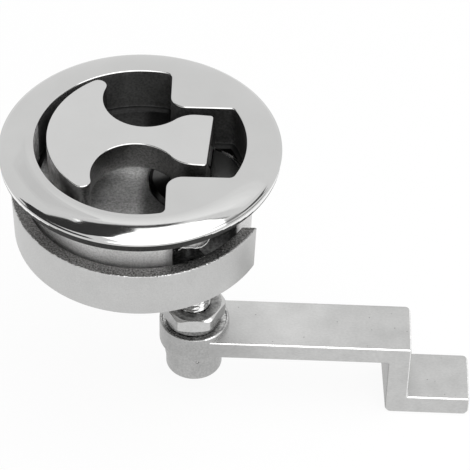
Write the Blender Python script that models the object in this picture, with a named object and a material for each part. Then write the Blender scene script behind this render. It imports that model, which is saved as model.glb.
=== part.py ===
"""Flush pull latch: a round polished housing let into a panel, clamped by a C-shaped ring.

The T-handle lies flush in a keyhole-shaped bowl. It hinges on a cross pin in the spindle head,
stands up, and turns the spindle, whose threaded rod carries a cranked cam arm under the panel.
Origin: centre of the flange's underside, which seats on the panel. +Z points out of the panel,
and +X runs from the centre to the spindle and along the cam arm.
"""

import math

import bmesh
import bpy
from mathutils import Matrix, Vector

MM = 0.001

# Fits
SEAT_GAP = 0.2 * MM
RUNNING_CLEARANCE = 0.2 * MM

# Flange
FLANGE_RADIUS = 38.5 * MM
FLANGE_THICKNESS = 4.8 * MM
FLANGE_ROLL_RADIUS = 2.2 * MM
FLANGE_DOME_DROP = 1.1 * MM
FLANGE_FOOT_RADIUS = 1.2 * MM

# Keyhole bowl
OPENING_RADIUS = 28.8 * MM
SLOT_HALF_WIDTH = 13.85 * MM
LAND_X = 7.6 * MM
LAND_CORNER_RADIUS = 4.5 * MM
BOWL_CORNER_RADIUS = 1.8 * MM
OPENING_EDGE_ROUND = 0.45 * MM
BOWL_DEPTH = 14.0 * MM
BOWL_FLOOR_THICKNESS = 3.0 * MM
BOWL_WALL = 2.4 * MM
SKIRT_DEPTH = 26.4 * MM

# Spindle: its round head fills the slot's width and reaches the slot's end
SPINDLE_DISC_SIDE_GAP = 0.55 * MM
SPINDLE_DISC_RADIUS = SLOT_HALF_WIDTH - SPINDLE_DISC_SIDE_GAP
SPINDLE_X = OPENING_RADIUS - SPINDLE_DISC_RADIUS
SPINDLE_DISC_THICKNESS = 3.0 * MM
SPINDLE_DISC_PROUD = 0.8 * MM
SPINDLE_DISC_CHAMFER = 1.1 * MM
BARREL_RADIUS = 7.5 * MM
BARREL_TAIL = 5.4 * MM
TANG_WIDTH = 7.6 * MM
TANG_EYE_RADIUS = 4.2 * MM
PIN_RADIUS = 2.0 * MM
PIN_RISE = 6.2 * MM

# Bearing below the bowl floor
BUSHING_WALL = 2.0 * MM
BEARING_BORE_RADIUS = BARREL_RADIUS + RUNNING_CLEARANCE + BUSHING_WALL + SEAT_GAP
BEARING_WALL = 2.6 * MM
BEARING_RADIUS = BEARING_BORE_RADIUS + BEARING_WALL
BEARING_PAD_THICKNESS = 2.5 * MM
THRUST_WASHER_THICKNESS = 1.0 * MM
BUSHING_FLANGE_RADIUS = BEARING_RADIUS - SEAT_GAP
BUSHING_FLANGE_THICKNESS = 1.2 * MM
SEAL_SIDE_GAP = 0.25 * MM
SEAL_SECTION_RADIUS = (BEARING_BORE_RADIUS - BARREL_RADIUS) / 2 - SEAL_SIDE_GAP
SEAL_ROOM = 3.8 * MM

# Spring stack on the spindle barrel
SPRING_LENGTH = 10.5 * MM
SPRING_WIRE_RADIUS = 0.9 * MM
SPRING_CLEARANCE = 1.0 * MM
SPRING_MEAN_RADIUS = BARREL_RADIUS + SPRING_CLEARANCE + SPRING_WIRE_RADIUS
SPRING_TURNS = 4.5
SPRING_WASHER_LEDGE = 1.7 * MM
SPRING_WASHER_RADIUS = SPRING_MEAN_RADIUS + SPRING_WIRE_RADIUS + SPRING_WASHER_LEDGE
SPRING_WASHER_THICKNESS = 1.5 * MM
CIRCLIP_GROOVE_DEPTH = 1.1 * MM
CIRCLIP_THICKNESS = 1.2 * MM
CIRCLIP_WIDTH = 2.6 * MM
CIRCLIP_GAP_DEG = 70.0

# Threaded rod and its lock pin
ROD_RADIUS = 4.85 * MM
ROD_END_RECESS = 0.3 * MM
ROD_ENGAGEMENT = 13.0 * MM
ROD_END_CHAMFER = 0.8 * MM
LOCK_PIN_RADIUS = 1.5 * MM
LOCK_PIN_RECESS = 0.3 * MM

# Handle, in its own frame: x from the spindle axis along its length
HANDLE_YAW_DEG = -4.3
HANDLE_THICKNESS = 9.1 * MM
HANDLE_PROUD = 0.8 * MM
CRESCENT_SIDE_GAP = 1.6 * MM
CRESCENT_RADIUS = OPENING_RADIUS - CRESCENT_SIDE_GAP
CRESCENT_SHIFT = 1.7 * MM
CRESCENT_CENTRE = CRESCENT_SHIFT - SPINDLE_X
WAIST_HALF_WIDTH = 3.6 * MM
NOTCH_OVERRUN = 0.2 * MM
NOTCH_RADIUS = (CRESCENT_RADIUS + NOTCH_OVERRUN - WAIST_HALF_WIDTH) / 2
NOTCH_X = -SPINDLE_X
NOTCH_Y = WAIST_HALF_WIDTH + NOTCH_RADIUS
CRESCENT_TIP_LEAN = 0.7 * MM
CRESCENT_TIP_X = NOTCH_X - NOTCH_RADIUS - CRESCENT_TIP_LEAN
CRESCENT_TIP_ROUND = 0.7 * MM
FISHTAIL_SIDE_GAP = 3.75 * MM
FISHTAIL_HALF_WIDTH = SLOT_HALF_WIDTH - FISHTAIL_SIDE_GAP
FISHTAIL_FLARE_RADIUS = 8.0 * MM
FISHTAIL_STRAIGHT = 3.3 * MM
FISHTAIL_CORNER_RADIUS = 1.3 * MM
HANDLE_TOP_ROUND = 0.45 * MM
HANDLE_BOTTOM_ROUND = 1.1 * MM
EAR_RADIUS = 4.0 * MM
PIN_INSET = 1.0 * MM
PIN_LENGTH = 2 * (FISHTAIL_HALF_WIDTH - PIN_INSET)
HANDLE_LIFT_RELIEF = 0.35 * MM

# Backing ring and its clamp screws
PANEL_SPACE = 12.0 * MM
RING_HEIGHT = 14.5 * MM
RING_WALL = 3.6 * MM
RING_CLEARANCE = 0.8 * MM
RING_RADIUS = OPENING_RADIUS + BOWL_WALL + RING_CLEARANCE + RING_WALL
RING_DRAFT = 0.35 * MM
RING_GAP_HALF_WIDTH = 15.1 * MM
LUG_RADIUS = 4.6 * MM
LUG_CLEARANCE = 0.33 * MM
SCREW_REACH = RING_RADIUS - RING_WALL - LUG_RADIUS - LUG_CLEARANCE
SCREW_ANGLE = math.radians(55.84)
SCREW_X = SCREW_REACH * math.cos(SCREW_ANGLE)
SCREW_Y = SCREW_REACH * math.sin(SCREW_ANGLE)
SCREW_RADIUS = 2.0 * MM
SCREW_LENGTH = 8.0 * MM
SCREW_HEAD_RADIUS = 3.5 * MM
SCREW_HEAD_HEIGHT = 4.0 * MM
SCREW_SOCKET_FLATS = 3.0 * MM
SCREW_WASHER_THICKNESS = 1.0 * MM
RING_LUG_THICKNESS = 3.0 * MM
HOUSING_LUG_THICKNESS = 3.4 * MM
LAND_BOSS_X = 13.6 * MM
LAND_BOSS_Y = 22.4 * MM
LAND_BOSS_RADIUS = 5.9 * MM
LAND_BOSS_HEIGHT = 7.2 * MM

# Cam arm, in its own frame: x from the rod axis along its length
ARM_YAW_DEG = -0.85
ARM_DROP = 18.0 * MM
ARM_WIDTH = 17.9 * MM
ARM_THICKNESS = 5.8 * MM
ARM_LEG_X = 62.5 * MM
ARM_LEG_THICKNESS = 6.3 * MM
ARM_STEP = 19.9 * MM
ARM_FOOT_THICKNESS = 6.3 * MM
ARM_FOOT_X = 80.8 * MM
ARM_CORNER_ROUND = 1.2 * MM
ARM_EDGE_ROUND = 0.5 * MM
ARM_CROOK_RADIUS = 3.0 * MM
BOSS_RADIUS = 10.1 * MM
BOSS_RISE = 1.8 * MM
BOSS_LIP = 0.7 * MM
BOSS_DISH_RADIUS = BOSS_RADIUS - BOSS_LIP
BOSS_DISH_DEPTH = 0.45 * MM
HUB_RADIUS = 8.5 * MM
HUB_DEPTH = 10.7 * MM
HUB_SHOULDER = 0.35 * MM

# Jam nut and lock washer
NUT_YAW_DEG = 2.5
NUT_FLATS = 17.0 * MM
NUT_HEIGHT = 5.0 * MM
LOCK_WASHER_SIDE_GAP = 0.5 * MM
LOCK_WASHER_RADIUS = BOSS_DISH_RADIUS - LOCK_WASHER_SIDE_GAP
LOCK_WASHER_THICKNESS = 2.6 * MM
LOCK_WASHER_SPLIT_DEG = 8.0

# Levels that follow from the sizes above, measured up from the flange's underside
BOWL_FLOOR_Z = FLANGE_THICKNESS - BOWL_DEPTH
FLOOR_UNDERSIDE_Z = BOWL_FLOOR_Z - BOWL_FLOOR_THICKNESS
DISC_TOP_Z = BOWL_FLOOR_Z + SPINDLE_DISC_PROUD
DISC_BOTTOM_Z = DISC_TOP_Z - SPINDLE_DISC_THICKNESS
POCKET_FLOOR_Z = DISC_BOTTOM_Z - THRUST_WASHER_THICKNESS - 2 * SEAT_GAP
PAD_BOTTOM_Z = POCKET_FLOOR_Z - BEARING_PAD_THICKNESS
BUSHING_FLANGE_TOP_Z = -SKIRT_DEPTH - SEAT_GAP
BUSHING_BOTTOM_Z = BUSHING_FLANGE_TOP_Z - BUSHING_FLANGE_THICKNESS
BUSHING_TOP_Z = POCKET_FLOOR_Z - SEAL_ROOM
SPRING_TOP_Z = BUSHING_BOTTOM_Z - SEAT_GAP
SPRING_BOTTOM_Z = SPRING_TOP_Z - SPRING_LENGTH
SPRING_WASHER_TOP_Z = SPRING_BOTTOM_Z - SEAT_GAP
CIRCLIP_TOP_Z = SPRING_WASHER_TOP_Z - SPRING_WASHER_THICKNESS - SEAT_GAP
CIRCLIP_BOTTOM_Z = CIRCLIP_TOP_Z - CIRCLIP_THICKNESS
BARREL_BOTTOM_Z = CIRCLIP_BOTTOM_Z - BARREL_TAIL
LOCK_PIN_Z = (CIRCLIP_BOTTOM_Z + BARREL_BOTTOM_Z) / 2
ROD_TOP_Z = BARREL_BOTTOM_Z + ROD_ENGAGEMENT
PIN_Z = DISC_TOP_Z + PIN_RISE
HANDLE_TOP_Z = FLANGE_THICKNESS + HANDLE_PROUD
HANDLE_BOTTOM_Z = HANDLE_TOP_Z - HANDLE_THICKNESS
ARM_TOP_Z = BARREL_BOTTOM_Z - ARM_DROP
BOSS_TOP_Z = ARM_TOP_Z + BOSS_RISE
BOSS_BOTTOM_Z = ARM_TOP_Z - ARM_THICKNESS - HUB_SHOULDER
HUB_BOTTOM_Z = ARM_TOP_Z - ARM_THICKNESS - HUB_DEPTH
ROD_BOTTOM_Z = HUB_BOTTOM_Z + ROD_END_RECESS
LOCK_WASHER_BOTTOM_Z = BOSS_TOP_Z - BOSS_DISH_DEPTH + SEAT_GAP
NUT_BOTTOM_Z = LOCK_WASHER_BOTTOM_Z + LOCK_WASHER_THICKNESS + SEAT_GAP
RING_TOP_Z = -PANEL_SPACE
RING_BOTTOM_Z = RING_TOP_Z - RING_HEIGHT
RING_LUG_TOP_Z = RING_BOTTOM_Z + RING_LUG_THICKNESS
HOUSING_LUG_BOTTOM_Z = RING_LUG_TOP_Z + SEAT_GAP
HOUSING_LUG_TOP_Z = HOUSING_LUG_BOTTOM_Z + HOUSING_LUG_THICKNESS

# Facets
FINE = 72
MEDIUM = 36
SMALL = 20
SHARP_ANGLE = math.radians(32.0)
SIDES = ((-1, "front"), (1, "back"))


# Outlines

def arc(cx, cy, radius, start, end, steps):
    """Points along an arc, both ends included, as (x, y) pairs."""
    turn = (end - start) / steps
    return [
        (cx + radius * math.cos(start + turn * i), cy + radius * math.sin(start + turn * i))
        for i in range(steps + 1)
    ]


def circle(radius, count, cx=0.0, cy=0.0):
    """A closed ring of points."""
    return arc(cx, cy, radius, 0.0, math.tau * (count - 1) / count, count - 1)


def rounded(corners, steps=4):
    """Close a polygon from (x, y, radius) corners, with an arc at each corner that has a radius."""
    points = []
    count = len(corners)
    for i, (x, y, radius) in enumerate(corners):
        if radius <= 0.0:
            points.append((x, y))
            continue
        here = Vector((x, y))
        before = (Vector(corners[i - 1][:2]) - here).normalized()
        after = (Vector(corners[(i + 1) % count][:2]) - here).normalized()
        half = before.angle(after) / 2
        centre = here + (before + after).normalized() * radius / math.sin(half)
        first = here + before * radius / math.tan(half) - centre
        last = here + after * radius / math.tan(half) - centre
        sweep = first.angle_signed(last)
        begin = math.atan2(first.y, first.x)
        points += arc(centre.x, centre.y, radius, begin, begin - sweep, steps)
    return points


def keyhole(offset):
    """The bowl's keyhole, grown outwards by offset: a circle cut by two lands beside the slot."""
    radius = OPENING_RADIUS + offset
    half = SLOT_HALF_WIDTH + offset
    land = LAND_X + offset
    land_round = max(LAND_CORNER_RADIUS - offset, 0.4 * MM)
    corner = BOWL_CORNER_RADIUS + offset
    slot_x = math.sqrt((radius - corner) ** 2 - (half - corner) ** 2)
    slot_angle = math.atan2(half - corner, slot_x)
    land_y = math.sqrt((radius - corner) ** 2 - (land - corner) ** 2)
    land_angle = math.atan2(land_y, land - corner)
    upper = arc(0, 0, radius, 0, slot_angle, 5)
    upper += arc(slot_x, half - corner, corner, slot_angle, math.pi / 2, 3)[1:]
    upper += arc(land + land_round, half + land_round, land_round, -math.pi / 2, -math.pi, 5)
    upper += arc(land - corner, land_y, corner, 0, land_angle, 3)
    upper += arc(0, 0, radius, land_angle, math.pi, 24)[1:]
    lower = [(x, -y) for x, y in reversed(upper[1:-1])]
    return upper + lower


def flare_centre():
    """Centre of the arc that leads from the finger notch to the fishtail's straight side."""
    flare_y = FISHTAIL_HALF_WIDTH - FISHTAIL_FLARE_RADIUS
    reach = NOTCH_RADIUS + FISHTAIL_FLARE_RADIUS
    return NOTCH_X + math.sqrt(reach ** 2 - (NOTCH_Y - flare_y) ** 2), flare_y


def handle_outline():
    """Crescent, waist between two finger notches, and fishtail, as one closed outline."""
    flare_x, flare_y = flare_centre()
    meet = math.atan2(flare_y - NOTCH_Y, flare_x - NOTCH_X)
    corner_x = flare_x + FISHTAIL_STRAIGHT
    corner_y = FISHTAIL_HALF_WIDTH - FISHTAIL_CORNER_RADIUS
    tip_round = CRESCENT_TIP_ROUND
    tip_x = CRESCENT_TIP_X - tip_round
    tip_y = math.sqrt((CRESCENT_RADIUS - tip_round) ** 2 - (tip_x - CRESCENT_CENTRE) ** 2)
    tip_angle = math.atan2(tip_y, tip_x - CRESCENT_CENTRE)
    upper = arc(corner_x, corner_y, FISHTAIL_CORNER_RADIUS, 0, math.pi / 2, 4)
    upper += arc(flare_x, flare_y, FISHTAIL_FLARE_RADIUS, math.pi / 2, meet + math.pi, 6)
    upper += arc(NOTCH_X, NOTCH_Y, NOTCH_RADIUS, meet, -math.pi, 18)[1:]
    upper += arc(tip_x, tip_y, tip_round, 0, tip_angle, 5)
    upper += arc(CRESCENT_CENTRE, 0, CRESCENT_RADIUS, tip_angle, math.pi, 24)[1:]
    lower = [(x, -y) for x, y in reversed(upper[:-1])]
    return upper + lower


def ring_outline(outer, inner, half_gap):
    """A C: an annulus open towards +X, its ends cut parallel to X."""
    outer_angle = math.asin(half_gap / outer)
    inner_angle = math.asin(half_gap / inner)
    points = arc(0, 0, outer, outer_angle, math.tau - outer_angle, 56)
    points += arc(0, 0, inner, math.tau - inner_angle, inner_angle, 56)
    return points


def open_washer_outline(outer, inner, gap_deg):
    """A flat ring with a gap of gap_deg centred on +X."""
    gap = math.radians(gap_deg) / 2
    points = arc(0, 0, outer, gap, math.tau - gap, 28)
    points += arc(0, 0, inner, math.tau - gap, gap, 28)
    return points


# Solids

def prism(levels):
    """Loft equal-length outlines, given as (outline, z) pairs, into a closed solid."""
    bm = bmesh.new()
    rings = [[bm.verts.new((x, y, z)) for x, y in outline] for outline, z in levels]
    bm.faces.new(rings[0])
    bm.faces.new(rings[-1])
    for low, high in zip(rings, rings[1:]):
        for i in range(len(low)):
            j = (i + 1) % len(low)
            bm.faces.new((low[i], low[j], high[j], high[i]))
    bmesh.ops.recalc_face_normals(bm, faces=bm.faces)
    return bm


def turned(profile, count):
    """Turn a profile of (radius, z) points about Z. It closes on itself or on the axis."""
    bm = bmesh.new()
    rings = []
    for radius, z in profile:
        if radius == 0.0:
            rings.append([bm.verts.new((0, 0, z))])
        else:
            rings.append([bm.verts.new((x, y, z)) for x, y in circle(radius, count)])
    pairs = list(zip(rings, rings[1:]))
    if profile[0][0] > 0.0 and profile[-1][0] > 0.0:
        pairs.append((rings[-1], rings[0]))
    for low, high in pairs:
        for i in range(count):
            j = (i + 1) % count
            corners = [low[i % len(low)], low[j % len(low)], high[j % len(high)], high[i % len(high)]]
            bm.faces.new(dict.fromkeys(corners))
    bmesh.ops.recalc_face_normals(bm, faces=bm.faces)
    return bm


def coil(mean_radius, wire_radius, height, turns, sides=6, steps_per_turn=18):
    """A helical wire about Z with its upper edge at z = 0 and its lower edge at z = -height."""
    bm = bmesh.new()
    steps = round(turns * steps_per_turn)
    rise = height - 2 * wire_radius
    rings = []
    for i in range(steps + 1):
        angle = math.tau * turns * i / steps
        z = -wire_radius - rise * i / steps
        centre = Vector((mean_radius * math.cos(angle), mean_radius * math.sin(angle), z))
        outward = Vector((math.cos(angle), math.sin(angle), 0))
        rings.append([
            bm.verts.new(centre + wire_radius * (outward * math.cos(a) + Vector((0, 0, math.sin(a)))))
            for a in (math.tau * side / sides for side in range(sides))
        ])
    bm.faces.new(rings[0])
    bm.faces.new(rings[-1])
    for low, high in zip(rings, rings[1:]):
        for i in range(sides):
            j = (i + 1) % sides
            bm.faces.new((low[i], low[j], high[j], high[i]))
    bmesh.ops.recalc_face_normals(bm, faces=bm.faces)
    return bm


def round_rim(bm, z, width, segments=2):
    """Round the rim that runs round the flat face at height z."""
    edges = [
        edge for edge in bm.edges
        if all(abs(vert.co.z - z) < 1e-7 for vert in edge.verts)
    ]
    bmesh.ops.bevel(bm, geom=edges, offset=width, segments=segments, affect='EDGES', profile=0.5)
    return bm


def along_y(bm):
    """Lay a solid that was built along Z down along Y."""
    bmesh.ops.rotate(bm, verts=bm.verts, cent=(0, 0, 0), matrix=Matrix.Rotation(math.pi / 2, 3, 'X'))
    return bm


def moved(bm, x=0.0, y=0.0, z=0.0):
    """Shift a solid."""
    bmesh.ops.translate(bm, verts=bm.verts, vec=(x, y, z))
    return bm


# Objects

def metal(name, colour, roughness, metallic=1.0):
    """A plain material."""
    material = bpy.data.materials.new(name)
    material.use_nodes = True
    shader = material.node_tree.nodes["Principled BSDF"]
    shader.inputs["Base Color"].default_value = (*colour, 1.0)
    shader.inputs["Roughness"].default_value = roughness
    shader.inputs["Metallic"].default_value = metallic
    return material


def piece(name, bm, parent, material):
    """Turn a mesh into a named sub-part, smooth on its round faces."""
    mesh = bpy.data.meshes.new(name)
    bm.to_mesh(mesh)
    bm.free()
    mesh.materials.append(material)
    mesh.shade_smooth()
    mesh.set_sharp_from_angle(angle=SHARP_ANGLE)
    thing = bpy.data.objects.new(name, mesh)
    bpy.context.scene.collection.objects.link(thing)
    thing.parent = parent
    return thing


def tool(name, bm, parent):
    """A solid that only shapes another one."""
    mesh = bpy.data.meshes.new(name)
    bm.to_mesh(mesh)
    bm.free()
    thing = bpy.data.objects.new(name, mesh)
    bpy.context.scene.collection.objects.link(thing)
    thing.parent = parent
    thing.hide_render = True
    thing.display_type = 'WIRE'
    return thing


def combine(thing, operation, name, bm, solver='EXACT'):
    """Join or cut a piece with another solid in the same frame."""
    modifier = thing.modifiers.new(name, 'BOOLEAN')
    modifier.operation = operation
    modifier.solver = solver
    modifier.object = tool(f"{thing.name}_{name}", bm, thing.parent)


def frame_at(name, parent, x=0.0, y=0.0, z=0.0, yaw_deg=0.0):
    """An empty that carries the pieces of one body, on that body's axis."""
    empty = bpy.data.objects.new(name, None)
    bpy.context.scene.collection.objects.link(empty)
    empty.parent = parent
    empty.location = (x, y, z)
    empty.rotation_euler = (0, 0, math.radians(yaw_deg))
    empty.empty_display_size = 10 * MM
    return empty


# Housing and ring

def flange_profile():
    """Half section of the flange: flat land, shallow dome, rolled rim, small foot round."""
    roll_x = FLANGE_RADIUS - FLANGE_ROLL_RADIUS
    dome_run = roll_x - OPENING_RADIUS
    dome_radius = (dome_run ** 2 + FLANGE_DOME_DROP ** 2) / (2 * FLANGE_DOME_DROP)
    dome_angle = math.asin(dome_run / dome_radius)
    dome_centre_z = FLANGE_THICKNESS - dome_radius
    roll_z = FLANGE_THICKNESS - FLANGE_DOME_DROP - FLANGE_ROLL_RADIUS
    dome = arc(OPENING_RADIUS, dome_centre_z, dome_radius, math.pi / 2, math.pi / 2 - dome_angle, 4)
    roll = arc(roll_x, roll_z, FLANGE_ROLL_RADIUS, math.pi / 2 - dome_angle, 0, 6)
    foot_round = min(FLANGE_FOOT_RADIUS, roll_z)
    foot_x = FLANGE_RADIUS - foot_round
    foot = arc(foot_x, foot_round, foot_round, 0, -math.pi / 2, 3)
    return [(0.0, FLANGE_THICKNESS)] + dome + roll[1:] + foot + [(0.0, 0.0)]


def build_housing(root, material):
    """Flange, keyhole bowl, skirt, bearing barrel, land bosses and screw lugs, cast as one piece."""
    housing = piece("housing", turned(flange_profile(), FINE), root, material)

    def shape(operation, name, bm):
        """Join or cut the housing. The exact solver leaves open edges where the lugs meet the skirt."""
        combine(housing, operation, name, bm, 'MANIFOLD')

    overlap = FLANGE_THICKNESS / 3
    skirt = prism([(keyhole(BOWL_WALL), -SKIRT_DEPTH), (keyhole(BOWL_WALL), overlap)])
    shape('UNION', "skirt", skirt)
    for side, name in SIDES:
        boss = turned([(0.0, -LAND_BOSS_HEIGHT), (LAND_BOSS_RADIUS, -LAND_BOSS_HEIGHT),
                       (LAND_BOSS_RADIUS, overlap), (0.0, overlap)], MEDIUM)
        shape('UNION', f"boss_{name}", moved(boss, LAND_BOSS_X, side * LAND_BOSS_Y))
        lug = lug_prism(side, math.hypot(LAND_X, SLOT_HALF_WIDTH), HOUSING_LUG_BOTTOM_Z, HOUSING_LUG_TOP_Z)
        shape('UNION', f"lug_{name}", lug)
    bowl = prism([
        (keyhole(0.0), BOWL_FLOOR_Z),
        (keyhole(0.0), FLANGE_THICKNESS - OPENING_EDGE_ROUND),
        (keyhole(OPENING_EDGE_ROUND * 0.3), FLANGE_THICKNESS - OPENING_EDGE_ROUND * 0.3),
        (keyhole(OPENING_EDGE_ROUND), FLANGE_THICKNESS),
        (keyhole(OPENING_EDGE_ROUND), 2 * FLANGE_THICKNESS),
    ])
    shape('DIFFERENCE', "bowl", bowl)
    chamber = prism([(keyhole(0.0), -SKIRT_DEPTH - overlap), (keyhole(0.0), FLOOR_UNDERSIDE_Z)])
    shape('DIFFERENCE', "chamber", chamber)
    pad_radius = SLOT_HALF_WIDTH + BOWL_WALL / 2
    barrel = turned([
        (0.0, FLOOR_UNDERSIDE_Z + overlap), (pad_radius, FLOOR_UNDERSIDE_Z + overlap),
        (pad_radius, PAD_BOTTOM_Z), (BEARING_RADIUS, PAD_BOTTOM_Z),
        (BEARING_RADIUS, -SKIRT_DEPTH), (0.0, -SKIRT_DEPTH),
    ], MEDIUM)
    shape('UNION', "barrel", moved(barrel, SPINDLE_X))
    disc_pocket = SPINDLE_DISC_RADIUS + 2 * RUNNING_CLEARANCE
    bore = turned([
        (0.0, DISC_TOP_Z), (disc_pocket, DISC_TOP_Z), (disc_pocket, POCKET_FLOOR_Z),
        (BEARING_BORE_RADIUS, POCKET_FLOOR_Z), (BEARING_BORE_RADIUS, -2 * SKIRT_DEPTH),
        (0.0, -2 * SKIRT_DEPTH),
    ], MEDIUM)
    shape('DIFFERENCE', "bore", moved(bore, SPINDLE_X))
    tap = circle(SCREW_RADIUS + RUNNING_CLEARANCE, SMALL)
    for side, name in SIDES:
        hole = prism([(tap, RING_LUG_TOP_Z - overlap), (tap, HOUSING_LUG_TOP_Z + overlap)])
        shape('DIFFERENCE', f"tap_{name}", moved(hole, SCREW_X, side * SCREW_Y))
    return housing


def lug_prism(side, web_end, bottom, top):
    """A screw lug: a round end on the screw's axis and a straight web in line with the centre."""
    start = math.copysign(math.pi / 2, web_end - SCREW_REACH)
    last_y = math.copysign(LUG_RADIUS, SCREW_REACH - web_end)
    outline = arc(SCREW_REACH, 0, LUG_RADIUS, start, start + math.pi, 12)
    outline += [(web_end, last_y), (web_end, -last_y)]
    lug = prism([(outline, bottom), (outline, top)])
    turn = Matrix.Rotation(side * SCREW_ANGLE, 3, 'Z')
    bmesh.ops.rotate(lug, verts=lug.verts, cent=(0, 0, 0), matrix=turn)
    return lug


def build_backing_ring(root, material):
    """C-shaped cast ring that clamps the panel against the flange, with two screw lugs."""
    inner = RING_RADIUS - RING_WALL
    body = prism([
        (ring_outline(RING_RADIUS - RING_DRAFT, inner, RING_GAP_HALF_WIDTH), RING_BOTTOM_Z),
        (ring_outline(RING_RADIUS, inner, RING_GAP_HALF_WIDTH), RING_TOP_Z),
    ])
    ring = piece("backing_ring", body, root, material)
    clearance_hole = circle(SCREW_RADIUS + 2 * RUNNING_CLEARANCE, SMALL)
    for side, name in SIDES:
        lug = lug_prism(side, inner + RING_WALL / 2, RING_BOTTOM_Z, RING_LUG_TOP_Z)
        combine(ring, 'UNION', f"lug_{name}", lug)
        hole = prism([(clearance_hole, RING_BOTTOM_Z - RING_WALL), (clearance_hole, RING_TOP_Z)])
        combine(ring, 'DIFFERENCE', f"hole_{name}", moved(hole, SCREW_X, side * SCREW_Y))
    return ring


def build_ring_screws(root, screw_material, washer_material):
    """Two socket screws with spring washers, up through the ring's lugs into the housing's."""
    washer_top = RING_BOTTOM_Z - SEAT_GAP
    head_top = washer_top - SCREW_WASHER_THICKNESS - SEAT_GAP
    head_bottom = head_top - SCREW_HEAD_HEIGHT
    tip = head_top + SCREW_LENGTH
    edge = SCREW_HEAD_RADIUS / 10
    for side, name in SIDES:
        place = frame_at(f"ring_screw_axis_{name}", root, SCREW_X, side * SCREW_Y)
        body = turned([
            (0.0, tip), (SCREW_RADIUS - edge, tip), (SCREW_RADIUS, tip - edge), (SCREW_RADIUS, head_top),
            (SCREW_HEAD_RADIUS, head_top), (SCREW_HEAD_RADIUS, head_bottom + edge),
            (SCREW_HEAD_RADIUS - edge, head_bottom), (0.0, head_bottom),
        ], SMALL)
        screw = piece(f"ring_screw_{name}", body, place, screw_material)
        socket = circle(SCREW_SOCKET_FLATS / math.sqrt(3), 6)
        combine(screw, 'DIFFERENCE', "socket", prism([
            (socket, head_bottom - SCREW_HEAD_HEIGHT), (socket, head_bottom + SCREW_HEAD_HEIGHT * 0.6)]))
        hole = SCREW_RADIUS + RUNNING_CLEARANCE
        washer = open_washer_outline(SCREW_HEAD_RADIUS, hole, LOCK_WASHER_SPLIT_DEG)
        piece(f"ring_screw_washer_{name}", prism([
            (washer, washer_top - SCREW_WASHER_THICKNESS), (washer, washer_top)]), place, washer_material)


# Spindle and what it carries

def build_spindle_head(axis, material):
    """Round head with an upright tang for the handle, and a long barrel below."""
    groove = BARREL_RADIUS - CIRCLIP_GROOVE_DEPTH
    top_edge = SPINDLE_DISC_RADIUS - SPINDLE_DISC_CHAMFER
    barrel_edge = BARREL_RADIUS - SPINDLE_DISC_CHAMFER
    body = turned([
        (0.0, DISC_TOP_Z), (top_edge, DISC_TOP_Z),
        (SPINDLE_DISC_RADIUS, DISC_TOP_Z - SPINDLE_DISC_CHAMFER), (SPINDLE_DISC_RADIUS, DISC_BOTTOM_Z),
        (BARREL_RADIUS, DISC_BOTTOM_Z), (BARREL_RADIUS, CIRCLIP_TOP_Z + SEAT_GAP),
        (groove, CIRCLIP_TOP_Z + SEAT_GAP), (groove, CIRCLIP_BOTTOM_Z - SEAT_GAP),
        (BARREL_RADIUS, CIRCLIP_BOTTOM_Z - SEAT_GAP),
        (BARREL_RADIUS, BARREL_BOTTOM_Z + SPINDLE_DISC_CHAMFER), (barrel_edge, BARREL_BOTTOM_Z),
        (0.0, BARREL_BOTTOM_Z),
    ], MEDIUM)
    head = piece("spindle_head", body, axis, material)
    root_z = DISC_TOP_Z - SPINDLE_DISC_THICKNESS / 2
    eye = arc(0, PIN_Z, TANG_EYE_RADIUS, 0, math.pi, 16)
    tang = eye + [(-TANG_EYE_RADIUS, root_z), (TANG_EYE_RADIUS, root_z)]
    half = TANG_WIDTH / 2
    combine(head, 'UNION', "tang", along_y(prism([(tang, -half), (tang, half)])))
    pin_hole = prism([(circle(PIN_RADIUS + RUNNING_CLEARANCE, SMALL), -TANG_WIDTH),
                      (circle(PIN_RADIUS + RUNNING_CLEARANCE, SMALL), TANG_WIDTH)])
    combine(head, 'DIFFERENCE', "pin_hole", moved(along_y(pin_hole), z=PIN_Z))
    bore_radius = ROD_RADIUS + RUNNING_CLEARANCE
    bore = turned([
        (0.0, ROD_TOP_Z + bore_radius / 2), (bore_radius, ROD_TOP_Z + SEAT_GAP),
        (bore_radius, BARREL_BOTTOM_Z - BARREL_RADIUS), (0.0, BARREL_BOTTOM_Z - BARREL_RADIUS),
    ], MEDIUM)
    combine(head, 'DIFFERENCE', "rod_bore", bore)
    combine(head, 'DIFFERENCE', "lock_pin_hole", lock_pin_hole())
    return head


def lock_pin_hole():
    """The cross hole shared by the barrel and the rod."""
    hole = circle(LOCK_PIN_RADIUS + RUNNING_CLEARANCE, SMALL)
    return moved(along_y(prism([(hole, -2 * BARREL_RADIUS), (hole, 2 * BARREL_RADIUS)])), z=LOCK_PIN_Z)


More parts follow.
